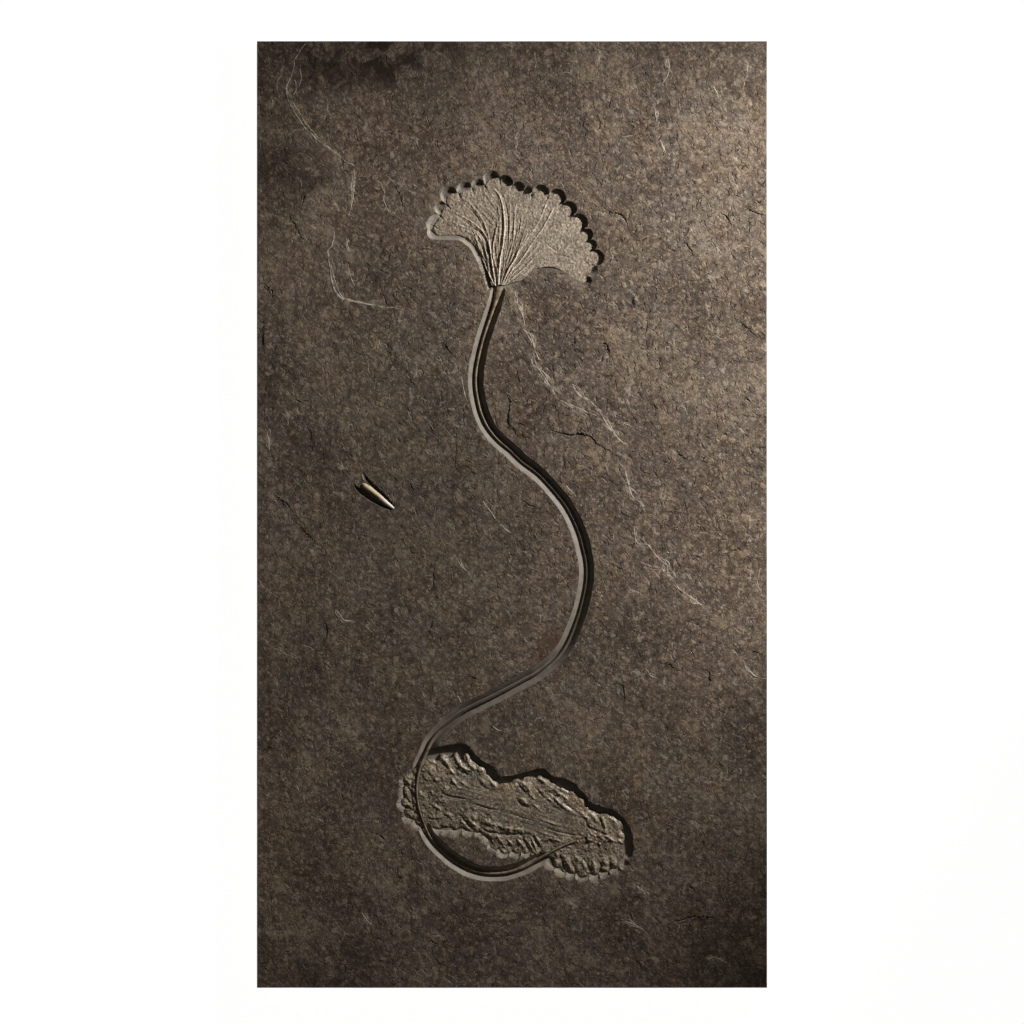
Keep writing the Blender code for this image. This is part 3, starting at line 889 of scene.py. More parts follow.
def makePyritisedCalcite():
    look = pyriteLook
    made, shader, place = newMaterial("pyritised calcite")
    value = place.noise(26, 3, 0.55, 0, 2) * 0.4 + place.noise(5, 3, 0.65, 0.5, 4) * 0.6
    colour = value.tint([(0.36, look["dark"]), (0.5, look["middle"]), (0.66, look["pale"])])
    cloud = place.noise(16, 3, 0.6, 0.4, 9)
    streaked = place.stretched(0.22, 1, 1, math.radians(-17)).noise(9, 3, 0.6, 0, 5)
    streaked = streaked.between(0.5, 0.68) * place.spot(20, -522, 60, 70) * 0.45
    colour = mixColour(streaked, colour, look["blue"])
    bead = place.spots([(124, -576, 12, 14), (152, -578, 12, 14)]) * 0.75
    colour = mixColour(bead * cloud.between(0.3, 0.5), colour, look["bead"])
    blue = place.spots([(-84, -462, 6, 30), (82, -520, 6, 26)]) * 0.5
    colour = mixColour(blue * cloud.between(0.35, 0.6), colour, look["blue"])
    rust = place.spots([(106, -494, 6, 22), (-12, -484, 6, 20, 0.5), (124, -508, 4, 20, 0.7)])
    colour = mixColour(rust * cloud.between(0.4, 0.58) * 0.65, colour, look["rust"])
    # painted highlight on the crests and painted shade in the hollows, mixed with wear and dirt
    colour = wornAndShaded(place, colour, look)
    # painted glints: bright pale specks, whose cells also make small bumps
    glintsAndBumps = place.pushed(1.2, 5).cells(2.6, "F1", "Color")
    colour = mixColour(glintsAndBumps.part("Red") ** 6 * 0.6, colour, look["crest"])
    height = place.noise(3.6, 3, 0.65, 0.5, 5) + glintsAndBumps.part("Green") * 0.4
    shine = place.noise(7, 2, 0.6, 0, 8).between(0.4, 0.6, 0.45, 0.26)
    plug(shader, Base_Color=colour, Roughness=shine, Normal=bump(height, look["relief"]))
    return made


belemniteLook = dict(
    # the cream and the tip colour are painted highlight
    amber=tone(98, 82, 60), honey=tone(150, 130, 98), highlightCream=tone(214, 198, 166),
    tip=tone(248, 242, 230),
)


def makeBelemniteCalcite():
    look = belemniteLook
    made, shader, place = newMaterial("belemnite calcite")
    lengthways = place.stretched(0.3, 1, 1, -belemnite["turn"])
    value = lengthways.noise(5, 3, 0.5)
    colour = value.tint([(0.35, look["amber"]), (0.65, look["honey"])])
    # painted highlight: a cream band runs along its upper right side, the side toward the lamp, and the
    # tip is painted nearly white
    (x, y), turn = belemnite["end"], belemnite["turn"]
    middle = (x * math.sin(turn) + y * math.cos(turn)) * mm
    band = lengthways.upTheFace() - middle + place.noise(9, 2, 0.5) * 0.002
    band = band.between(0.0005, 0.0035)
    colour = mixColour(band * 0.9, colour, look["highlightCream"])
    tip = place.spot(-211, 12, 9, 26)
    colour = mixColour(tip * 0.9, colour, look["tip"])
    plug(shader, Base_Color=colour, Roughness=0.34, Normal=bump(place.noise(3, 2), 0.1))
    return made


def makeVeinCalcite():
    made, shader, place = newMaterial("vein calcite")
    value = place.noise(9, 3, 0.6)
    colour = value.tint([(0.36, tone(116, 103, 90)), (0.56, tone(204, 190, 172))])
    plug(shader, Base_Color=colour, Roughness=0.7, Normal=bump(place.noise(3, 2), 0.3))
    return made


def shelved(value, count, sharp):
    # a smooth field turned into flat shelves with steep fronts
    level = np.floor(value * count)
    return (level + ease(value * count - level, 1 - sharp, 1)) / count


def faceHeight(x, y):
    s = slab
    height = s["face"] - s["drop"] + s["swell"] * roughness(x, y, s["swellSize"], 2, 3)
    height = height + s["waves"] * roughness(x, y, s["waveSize"], 2, 11)
    shelves = shelved(roughness(x, y, s["ledgeSize"], 4, 27, 0.6), s["ledgeCount"], 0.25)
    height = height + s["ledge"] * shelves
    slantX = (x + y) * 0.7071
    slantY = (y - x) * 0.7071
    height = height + s["grit"] * roughness(slantX, slantY * 0.55, s["gritSize"], 2, 19, 0.7)
    # a crack is the broken edge of a layer: the rock stands higher on one side of it
    for half, line in cracks:
        near = around(x, y, line, 50)
        if near.any():
            apart, along, side = nearPath(x[near], y[near], line)
            fade = np.sin(np.pi * np.clip(along, 0.08, 0.92)) * half * s["crackStep"]
            height[near] += side * fade * np.exp(-apart / 12)
    return height


# each crack: half its width, then its line; all dip about as deep as they are wide
cracks = fromGrid([
    (1.5, [(306, 191), (304, 198), (302, 206)]),
    (1.3, [(291, 213), (291, 220), (296, 226), (299, 231), (302, 238), (306, 240)]),
    (1.2, [(313, 243), (318, 247), (320, 254)]),
    (1.4, [(263, 283), (268, 288), (272, 292), (273, 300), (275, 305)]),
    (1.3, [(393, 182), (397, 190), (402, 202), (406, 210)]),
    (1.2, [(380, 238), (381, 246), (386, 254)]),
    (1.0, [(281, 161), (287, 165), (292, 170)]),
    (1.1, [(377, 115), (379, 126)]),
    (1.1, [(410, 262), (414, 270)]),
    (1.4, [(264, 322), (263, 335), (264, 348), (265, 356)]),
    (1.0, [(281, 362), (290, 372), (296, 380)]),
    (1.3, [(294, 396), (299, 401), (304, 402), (309, 399)]),
    (1.3, [(303, 421), (308, 428), (311, 432), (311, 440), (311, 450)]),
    (1.3, [(404, 375), (410, 380), (416, 388)]),
    (1.3, [(440, 340), (446, 348), (452, 354), (458, 358)]),
    (1.6, [(272, 491), (280, 499), (287, 505), (293, 513)]),
    (1.4, [(295, 520), (303, 530), (310, 538), (317, 545)]),
    (1.1, [(408, 480), (412, 488), (416, 495)]),
    (1.2, [(436, 560), (434, 572), (433, 582), (435, 592), (438, 603)]),
    (1.1, [(435, 613), (431, 625), (429, 637)]),
    (1.2, [(322, 618), (326, 626), (327, 634), (324, 643)]),
    (1.6, [(500, 390), (507, 396), (510, 404), (508, 416), (508, 424), (514, 430), (518, 436),
        (530, 438)]),
    (1.9, [(549, 424), (551, 430), (560, 433), (572, 436), (582, 434), (590, 437), (597, 444),
        (604, 448), (612, 453), (618, 456)]),
    (1.2, [(574, 337), (575, 345)]),
    (1.6, [(600, 343), (606, 345), (609, 350), (609, 358)]),
    (1.1, [(632, 294), (635, 310)]),
    (1.1, [(633, 358), (635, 368)]),
    (1.0, [(663, 340), (664, 350)]),
    (1.2, [(661, 358), (663, 368)]),
    (1.4, [(653, 402), (656, 412)]),
    (1.1, [(660, 385), (660, 393)]),
    (1.1, [(615, 379), (617, 390)]),
    (1.1, [(602, 470), (610, 480), (615, 485)]),
    (1.2, [(653, 470), (658, 478)]),
    (1.3, [(674, 450), (682, 456), (691, 461)]),
    (1.2, [(684, 498), (686, 510)]),
    (1.3, [(620, 510), (626, 516), (634, 518)]),
    (1.2, [(552, 404), (558, 412)]),
    (1.3, [(520, 499), (530, 505), (540, 508)]),
    (1.5, [(744, 207), (752, 212), (764, 216)]),
    (1.5, [(738, 317), (742, 324), (751, 332), (758, 340)]),
    (1.4, [(744, 396), (751, 403)]),
    (1.6, [(600, 205), (610, 212), (618, 214), (622, 216), (627, 225), (629, 231)]),
    (1.7, [(680, 243), (687, 244), (690, 250), (695, 257)]),
    (1.5, [(720, 213), (727, 218), (732, 227)]),
    (1.1, [(632, 298), (633, 308)]),
    (1.2, [(697, 200), (697, 210)]),
    (1.4, [(626, 125), (636, 129)]),
    (1.1, [(637, 136), (641, 141)]),
    (1.3, [(643, 66), (645, 72), (647, 78)]),
    (1.3, [(668, 100), (670, 107)]),
    (1.4, [(719, 150), (721, 158)]),
    (1.5, [(730, 172), (735, 176), (739, 181)]),
    (1.4, [(691, 180), (696, 185)]),
    (1.3, [(724, 195), (733, 196), (742, 196)]),
    (1.3, [(748, 127), (749, 136)]),
    (1.2, [(568, 161), (572, 169)]),
    (1.2, [(754, 200), (762, 206)]),
    (1.0, [(602, 190), (610, 197)]),
    (1.3, [(660, 663), (668, 664), (674, 668), (674, 676)]),
    (1.3, [(700, 668), (708, 672), (710, 680), (706, 690)]),
    (1.2, [(614, 683), (622, 686), (624, 696), (623, 706)]),
    (1.3, [(748, 653), (756, 652), (764, 656)]),
    (1.2, [(655, 862), (661, 866), (663, 874)]),
    (1.3, [(680, 884), (690, 886), (697, 893), (701, 898)]),
    (1.5, [(664, 929), (674, 922), (686, 918), (698, 916), (710, 917), (720, 920)]),
    (1.2, [(740, 938), (750, 936), (760, 933)]),
    (1.0, [(630, 896), (645, 898)]),
    (1.2, [(396, 868), (400, 876), (404, 885)]),
    (1.1, [(262, 745), (272, 748), (280, 751)]),
    (1.1, [(378, 834), (385, 840)]),
    (1.3, [(425, 936), (433, 942), (436, 950)]),
    (1.1, [(665, 722), (667, 732)]),
    (1.1, [(520, 548), (526, 556)]),
    (1.2, [(470, 676), (478, 680)]),
], digits=0)
smallCracks = dict(
    count=190, seed=5, shortest=6, longest=24, width=0.9, reachX=425, reachY=810, heading=-55,
    headingSpread=24, wander=0.4, apart=20,
)
splinters = dict(every=7, shortest=5, longest=13, headings=[-50, 130, -10], spread=18, bend=0.5,
                 width=0.6)
crackLook = dict(spacing=3.2, rough=0.9, width=1.5, thinnest=0.65, widest=1.35)


def isBareRock(point):
    # well clear of the channel, the pits and the small fossil
    x, y = np.array([point[0]]), np.array([point[1]])
    clear = min(nearPath(x, y, stemPlan)[0][0] - 34, nearPath(x, y, fanEdge, True)[0][0] - 20,
                nearPath(x, y, crownEdge, True)[0][0] - 20,
                math.dist(point, (-238, 35)) - 60)
    inFan = -150 < point[0] < 160 and 400 < point[1] < 600
    inCrown = -200 < point[0] < 215 and -645 < point[1] < -420
    return clear > 0 and not inFan and not inCrown


def strewnCracks(random):
    # the cracks above, and short ones strewn between them that mostly run down to the right
    s = smallCracks
    lines = list(cracks)
    while len(lines) < len(cracks) + s["count"]:
        start = [random.uniform(-reach, reach) for reach in (s["reachX"], s["reachY"])]
        length = random.uniform(s["shortest"], s["longest"])
        heading = math.radians(random.normal(s["heading"], s["headingSpread"]))
        count = int(length / 5) + 2
        points = [np.array(start)]
        for _ in range(count):
            heading += random.normal(0, s["wander"])
            step = np.array([math.cos(heading), math.sin(heading)]) * length / count
            points.append(points[-1] + step)
        middle = points[len(points) // 2]
        near = min(math.dist(middle, p) for _, line in lines for p in line)
        if isBareRock(middle) and near > s["apart"]:
            lines.append((s["width"], [tuple(p) for p in points]))
    return lines


def splintersOf(half, line, random):
    # splinters leave each crack at a sharp angle
    s = splinters
    path = smoothPath(line, 4)
    for _ in range(int(len(path) / s["every"])):
        x, y = path[random.integers(1, len(path) - 1)]
        heading = math.radians(random.choice(s["headings"]) + random.normal(0, s["spread"]))
        reach = random.uniform(s["shortest"], s["longest"])
        bend = heading + random.normal(0, s["bend"])
        middle = (x + 0.5 * reach * math.cos(heading), y + 0.5 * reach * math.sin(heading))
        tip = (x + reach * math.cos(bend), y + reach * math.sin(bend))
        yield s["width"] * half, [(x, y), middle, tip]


def crackCutters():
    look = crackLook
    random = np.random.default_rng(smallCracks["seed"])
    lines = strewnCracks(random)
    for half, line in cracks:
        lines += splintersOf(half, line, random)
    pieces = []
    for i, (half, line) in enumerate(lines):
        path = smoothPath(line, look["spacing"])
        rough = random.normal(0, look["rough"], (len(path), 2))
        path = [(x + a, y + b) for (x, y), (a, b) in zip(path, rough)]
        shares = [min(max(k / (len(path) - 1), 0.06), 0.94) for k in range(len(path))]
        widths = [look["width"] * half * (0.3 + 0.7 * math.sin(math.pi * share))
                  * random.uniform(look["thinnest"], look["widest"]) for share in shares]
        pieces.append(sweptCutter(f"crack{i}", path, crackProfile, widths))
    return pieces


def joined(pieces):
    clearSelection()
    for piece in pieces:
        piece.select_set(True)
    bpy.context.view_layer.objects.active = pieces[0]
    if len(pieces) > 1:
        bpy.ops.object.join()
    return bpy.context.view_layer.objects.active


crackProfile = [(-1.5, slab["face"] + 2), (-0.3, slab["face"] - 1.2),
                (0.3, slab["face"] - 1.2), (1.1, slab["face"] + 2)]

belemnite = dict(
    end=(-265.5, 54), tip=(-208.5, 10.5), turn=math.radians(37.3), sink=11,
    profile=[(0, 3.6), (0.03, 5.6), (0.08, 6.6), (0.2, 6.8), (0.5, 5.7), (0.75, 4.2),
             (0.92, 2.9), (0.985, 2.0)],
)
# the two troughs dug beside it: half their width, then the line
troughs = [
    ([2.0, 4.8, 4.6, 3.6, 2.8, 1.6], [(-262, 74), (-254, 60), (-238, 44), (-223, 31), (-212, 19.5),
                                      (-205, 9)]),
    ([3.2, 5.2, 5.2, 4.4, 3.2, 1.6], [(-279, 54), (-272, 45), (-257, 34), (-242, 23.5),
                                      (-226, 14), (-212, 7.5)]),
]


def troughCutters():
    face, deep = slab["face"], slab["face"] - pits["troughDepth"]
    made = []
    for number, (halves, line) in enumerate(troughs):
        path = smoothPath(line, 3)
        shares = np.linspace(0, 1, len(path))
        widths = np.interp(shares, np.linspace(0, 1, len(halves)), halves)
        ends = np.sin(np.pi * np.clip(shares, 0.03, 0.97)) ** 0.35
        profile = [(-1.25, face + 3), (-0.9, face - 1), (-0.62, deep), (0.62, deep),
                   (0.9, face - 1), (1.25, face + 3)]
        made.append(sweptCutter(f"trough{number}", path, profile, list(widths * ends), False))
    path, radii = guardLine()
    return [*made, tube("guardSeat", path, [r + 0.3 for r in radii], 6)]


def guardLine():
    b = belemnite
    start = Vector(b["end"])
    way = Vector(b["tip"]) - start
    rest = slab["face"] - b["sink"] + 0.3
    shares = np.linspace(0, 1, 64)
    radii = np.interp(shares, [p[0] for p in b["profile"]], [p[1] for p in b["profile"]])
    # the thin tip lies higher than the middle, so that it is clear of the rock
    path = [(*(start + way * share), rest + 6.8 + 0.55 * (6.8 - radius))
            for share, radius in zip(shares, radii)]
    return path, list(radii)


def pitLevels(edge, foot, floor, steep):
    # the lip is worn round, the wall runs down to the fossil's own edge, and below that it
    # goes straight down; floor gives the height of each point of the foot, and steep is 1
    # where the wall drops at once to a level floor
    face = slab["face"]
    mixed = [tuple(Vector(a).lerp(Vector(b), 0.1)) for a, b in zip(edge, foot)]
    low = [tuple(Vector(a).lerp(Vector(b), 0.82 - 0.66 * s)) for a, b, s in zip(edge, foot, steep)]
    return [(inset(edge, -2.6), face + 4), (inset(edge, -1.1), face + 0.1), (mixed, face - 0.7),
            (low, [face + (z - face) * (0.8 + 0.17 * s) for z, s in zip(floor, steep)]),
            (foot, floor),
            (foot, face - pits["depth"])]


def fanFloor():
    x, y = np.array([p[0] for p in fanFoot]), np.array([p[1] for p in fanFoot])
    # along the hollow lower right edge the fan lies almost level with the rock beside it
    ledge = ease(x, 4, 24) * (1 - ease(y, 428, 442)) * (1 - ease(x, 124, 134))
    shade = ease(x * 0.8 + (y - 396) * 0.6, 60, 150)
    edge = fanHeight(x, y)
    deep = np.minimum(edge - 0.9 - 1.5 * shade, slab["face"] - 6.6)
    # down the left flank only a thin gap parts it from the wall
    flank = (1 - ease(x, -56, -40)) * (1 - ease(y, 476, 492))
    deep = deep + (edge - 1.1 - deep) * flank
    level = np.minimum(edge - 0.5, slab["face"] - 2.2)
    return [float(z) for z in deep + (level - deep) * ledge]


def veinHaze(x, y):
    total = np.zeros_like(x)
    for _, count, line in veins:
        near = around(x, y, line, 30)
        if near.any():
            apart, along, _ = nearPath(x[near], y[near], line)
            fade = np.sin(np.pi * np.clip(along, 0.06, 0.94)) * min(1, 0.35 * count)
            total[near] = np.maximum(total[near], fade * np.exp(-((apart / 8) ** 2)))
    return total


def makeSlab():
    s = slab
    halfX, halfY = s["width"] / 2, s["length"] / 2
    sheet = gridSheet("shaleSlab", s["columns"], s["rows"], -halfX, halfX, -halfY, halfY)
    points = coordinates(sheet)
    x, y = points[:, 0].copy(), points[:, 1].copy()
    points[:, 2] = faceHeight(x, y)
    # the outer ring becomes a small worn edge
    cellX, cellY = s["width"] / s["columns"], s["length"] / s["rows"]
    second = np.isclose(np.abs(x), halfX - cellX, atol=0.01)
    points[second, 0] = np.sign(x[second]) * (halfX - s["edgeRound"])
    second = np.isclose(np.abs(y), halfY - cellY, atol=0.01)
    points[second, 1] = np.sign(y[second]) * (halfY - s["edgeRound"])
    border = np.isclose(np.abs(x), halfX, atol=0.01) | np.isclose(np.abs(y), halfY, atol=0.01)
    points[border, 2] -= s["edgeRound"]
    setCoordinates(sheet, points)
    closeBelow(sheet, 0)
    face = s["face"]
    foot = face - pits["wallDepth"]
    half = [(pits["channelTop"] + 3, face + 3), (pits["channelTop"] + 1.2, face),
            (pits["channelTop"] - 0.4, face - 0.8), (pits["channelFloor"] + 1.5, foot + 1.6),
            (pits["channelFloor"], foot)]
    channel = [(-across, z) for across, z in half] + half[::-1]
    # the walls that look away from the upper right drop at once, the others lean back
    fanSteep = [float((0.4 + 0.6 * ease(px, -40, 0)) * ease(py, 425, 450)) for px, py in fanEdge]
    farSide = [float(ease(py + 0.33 * px, -520, -490)) for px, py in crownEdge]
    rightEnd = [float(ease(px, 185, 205) * ease(py, -615, -600)) for px, py in crownEdge]
    crownSteep = [max(pair) for pair in zip(farSide, rightEnd)]
    crownFloor = [face - pits["crownFloor"] - pits["crownDrop"] * steep for steep in crownSteep]
    cutters = [
        loft("fanPit", pitLevels(fanEdge, fanFoot, fanFloor(), fanSteep)),
        loft("crownPit", pitLevels(crownEdge, crownFoot, crownFloor, crownSteep)[:-1]),
        loft("crownPocket", [(inset(crownShape, -0.3), face + 4),
                             (inset(crownShape, -0.3), face - pits["depth"])]),
        sweptCutter("channel", stemPlan, channel),
        *troughCutters(),
        joined(crackCutters()),
    ]
    cutWith(sheet, cutters)
    for material in (makeShale(), makeGroundRock(), makeSawnShale()):
        sheet.data.materials.append(material)
    points = coordinates(sheet)
    layer = sheet.data.attributes.new("veinHaze", "FLOAT", "POINT")
    layer.data.foreach_set("value", veinHaze(points[:, 0], points[:, 1]).astype(np.float32))
    for polygon in sheet.data.polygons:
        centre, normal = polygon.center, polygon.normal
        inside = abs(centre.x) < halfX - 1 and abs(centre.y) < halfY - 1 and centre.z > 1
        ground = inside and (centre.z < face - 2.2 or normal.z < 0.8)
        polygon.material_index = 1 if ground else 0 if inside or normal.z > 0.9 else 2
    finish(sheet, "shale_slab", "shale", angle=20)
    return sheet


def addLocalRelief(piece, heightAt, low, high, reach):
    # how far each place stands above or below the ground around it, in millimetres
    step = 1.3
    gridX, gridY = np.meshgrid(np.arange(low[0], high[0], step), np.arange(low[1], high[1], step))
    around = height = heightAt(gridX.ravel(), gridY.ravel()).reshape(gridX.shape)
    side = round(reach / step)
    for axis in (0, 1, 0, 1):
        spread = [np.roll(around, shift, axis) for shift in range(-side, side + 1)]
        around = sum(spread) / len(spread)
    points = coordinates(piece)
    column = np.clip(np.round((points[:, 0] - low[0]) / step), 0, gridX.shape[1] - 1).astype(int)
    row = np.clip(np.round((points[:, 1] - low[1]) / step), 0, gridX.shape[0] - 1).astype(int)
    layer = piece.data.attributes.new("wear", "FLOAT", "POINT")
    layer.data.foreach_set("value", (height - around)[row, column].astype(np.float32))


def makeRelief(name, heightAt, area, cell, outline, localReliefReach):
    # a fine relief over an area of the face, closed below, cut to its outline and clear of the stem
    low, high = area
    columns, rows = round((high[0] - low[0]) / cell), round((high[1] - low[1]) / cell)
    sheet = gridSheet(name, columns, rows, low[0], high[0], low[1], high[1])
    points = coordinates(sheet)
    points[:, 2] = heightAt(points[:, 0], points[:, 1])
    setCoordinates(sheet, points)
    deep = slab["face"] - pits["depth"] + 0.3
    closeBelow(sheet, deep - 3)
    body = loft(f"{name}Body", [(outline, slab["face"] + 30), (outline, deep)])
    cutWith(sheet, [body], "INTERSECT")
    cutWith(sheet, [stemClearance()])
    addLocalRelief(sheet, heightAt, low, high, localReliefReach)
    return sheet


def wornAndShaded(place, colour, look):
    # crests are painted pale, partly as rubbed wear and partly as painted highlight; hollows are
    # painted dark, partly as dirt and partly as painted shade
    wear = place.attribute("wear")
    colour = mixColour(wear.between(0.1, 1.1) * look["rubbedAndHighlit"], colour, look["crest"])
    return mixColour(wear.between(-1.4, -0.15, 1.0, 0.0) * look["dirtAndShade"], colour, look["hollow"])


# the upper crown: arms that leave the calyx as ridges and sink into a granular sheet
calyx = (-24, 396)
fan = dict(
    area=((-152, 397), (162, 604)), cell=0.85, crest=-0.6, fall=5.4, leftFall=5.4, reach=232,
    fibre=1.0, grain=0.4, edge=0.6, flank=1.8, overFace=0.55,
    arm=dict(amount=0.95, spread=0.8, spacing=6), groove=dict(amount=-0.64, spread=0.85, spacing=6),
)
# each arm: half its width, its height at the calyx, then its line outward
arms = fromGrid([
    (2.0, 2.8, [(499, 278), (500, 262), (502, 250), (503.5, 240), (504.5, 230), (504.5, 222),
        (503.5, 212), (502, 203), (499, 195), (495, 190)]),
    (1.5, 2.1, [(497.5, 272), (495, 264), (493.3, 256), (493, 248), (494.5, 239), (496, 231),
        (498, 222)]),
    (1.4, 1.8, [(489.5, 275), (488.5, 266), (487, 257), (484.5, 247), (481, 239), (477, 234)]),
    (1.3, 1.6, [(485, 265), (483, 257), (481, 248), (477, 240), (472, 234), (466, 231)]),
    (1.2, 1.3, [(481, 258), (478, 251), (474, 244), (469, 238), (463, 235)]),
    (1.4, 1.7, [(491, 256), (490, 248), (487.5, 240), (484, 233), (479, 228), (473, 223),
        (465, 218), (456, 213)]),
    (1.4, 1.5, [(489, 240), (487, 231), (483.5, 222), (478.5, 213.5), (472, 206), (466, 200)]),
    (1.2, 1.1, [(496, 231), (492.5, 224), (487, 217), (481, 211), (475, 204)]),
    (1.1, 1.0, [(499, 214), (494.5, 206), (489.5, 199), (485, 193)]),
    (1.1, 1.1, [(500.5, 208), (497, 201), (492, 195), (488, 190)]),
    (1.2, 1.1, [(473.5, 231), (466, 228), (458, 224.5), (450, 221)]),
    (1.4, 1.6, [(503, 271), (505, 262), (507, 252), (508.5, 242), (509.5, 232), (510, 221),
        (510, 210), (509.5, 200)]),
    (1.4, 1.7, [(504, 272), (507.5, 262), (510, 253), (512.5, 243), (514, 233), (514.5, 222),
        (515, 211), (516.5, 203)]),
    (1.2, 1.3, [(506, 271), (509.5, 263), (513, 255), (516, 246), (518.5, 236), (520.5, 226),
        (522, 214)]),
    (1.3, 1.5, [(508, 271), (512.5, 263), (516.5, 255), (520, 248), (524, 240.5), (527, 234)]),
    (1.6, 2.0, [(508, 271), (514, 261), (520, 251), (526, 241), (532, 232), (538, 222), (543, 212),
        (546, 205)]),
    (1.5, 1.9, [(511, 272), (517, 265), (523, 257), (529, 248), (534.5, 240), (541, 231),
        (545, 224), (550, 215), (553, 209)]),
    (1.3, 1.3, [(511, 276), (518, 269), (525, 261), (531, 254), (536, 248), (539, 243)]),
    (1.2, 1.2, [(512, 279), (519, 273), (526, 267), (532, 260), (537, 253)]),
    (1.2, 1.0, [(512, 282), (520, 277), (528, 271), (534, 265)]),
    (1.2, 0.9, [(511, 284.5), (518, 281), (526, 276), (531, 272)]),
    (1.0, 1.0, [(523, 236), (526, 228), (527, 221)]),
    (1.0, 0.9, [(518, 228), (517, 218), (519, 209)]),
])
# furrows between them: half the width, the depth, then the line
grooves = fromGrid([
    (1.2, 2.2, [(504.5, 268), (506, 255), (508, 243), (508.5, 232), (508, 220), (506.5, 208),
        (503.5, 198), (500, 191)]),
    (1.2, 2.0, [(497.5, 266), (499, 250), (501, 238), (502, 228), (501.5, 216), (500, 208)]),
    (1.1, 1.8, [(492.5, 270), (491.3, 258), (491.3, 248), (492.8, 238), (494.5, 229), (497, 221)]),
    (1.1, 1.6, [(487, 268), (485, 258), (482.5, 249), (478.5, 241), (474, 236), (469, 232.5)]),
    (1.1, 1.4, [(483, 264), (480, 255), (476, 247), (471, 240), (465, 236)]),
    (1.4, 2.1, [(490.5, 266), (489.7, 256), (488, 247), (485, 240), (480.5, 233), (475, 229.5),
        (468, 227), (460, 223.5)]),
    (1.1, 1.6, [(488.5, 243), (486, 235), (482, 226), (477, 217), (471, 210), (464, 204),
        (458, 199)]),
    (1.0, 1.3, [(476, 229), (470, 225), (463, 220), (455, 215)]),
    (1.0, 1.2, [(497, 228), (493, 220), (487, 213.5), (481, 208), (477, 203)]),
    (0.9, 1.1, [(499.5, 217), (495, 210), (490, 203), (486, 197)]),
    (1.2, 1.3, [(489, 278), (484.5, 271), (480.5, 262), (476.5, 252), (471.5, 244), (466, 239),
        (459, 236.5), (450, 236)]),
    (1.0, 1.3, [(441, 198), (445, 203), (450, 208), (457, 212)]),
    (0.9, 1.2, [(509.5, 262), (512, 250), (512.5, 238), (512.5, 226), (512.5, 213)]),
    (0.9, 1.1, [(514.5, 254), (517, 243), (519, 232), (520.5, 218)]),
    (1.2, 1.9, [(511, 265), (517, 255.5), (523, 246), (529.5, 236), (535.5, 226), (541, 216),
        (546, 207)]),
    (1.1, 1.5, [(514, 268), (520, 260.5), (527, 250.5), (533, 242), (540, 233), (544, 225),
        (549.5, 215)]),
    (1.0, 1.2, [(513, 275), (521, 266), (528, 258), (534, 250)]),
    (1.0, 1.0, [(514, 279), (522, 272), (529, 265)]),
    (1.1, 1.6, [(541, 243), (547, 244.5), (553, 249), (558, 252.5), (563, 253.5)]),
    (1.1, 1.6, [(553, 255), (560, 255), (567, 257), (573, 259)]),
    (1.0, 1.3, [(582, 259), (587, 263), (590, 267)]),
    (1.0, 1.6, [(430, 222), (434, 226), (439, 229)]),
    (1.0, 1.4, [(432, 233), (436, 235), (440, 236)]),
    (1.0, 1.2, [(459, 229), (453, 226), (446, 225)]),
    (1.0, 1.1, [(455, 209), (456, 213)]),
])


def rooted(arm):
    # an arm drawn back to where it leaves the calyx; those that end on the right stand higher
    width, rise, line = arm
    root = (calyx[0] + (line[0][0] - calyx[0]) * 0.35, calyx[1] + 7)
    return width, rise * (1 + 0.5 * ease(line[-1][0], 0, 30)), [root, *line]


def armStrength(along):
    return 1 - 0.6 * along


def grooveStrength(along):
    return np.sin(np.pi * np.clip(along * 0.86 + 0.1, 0, 1))


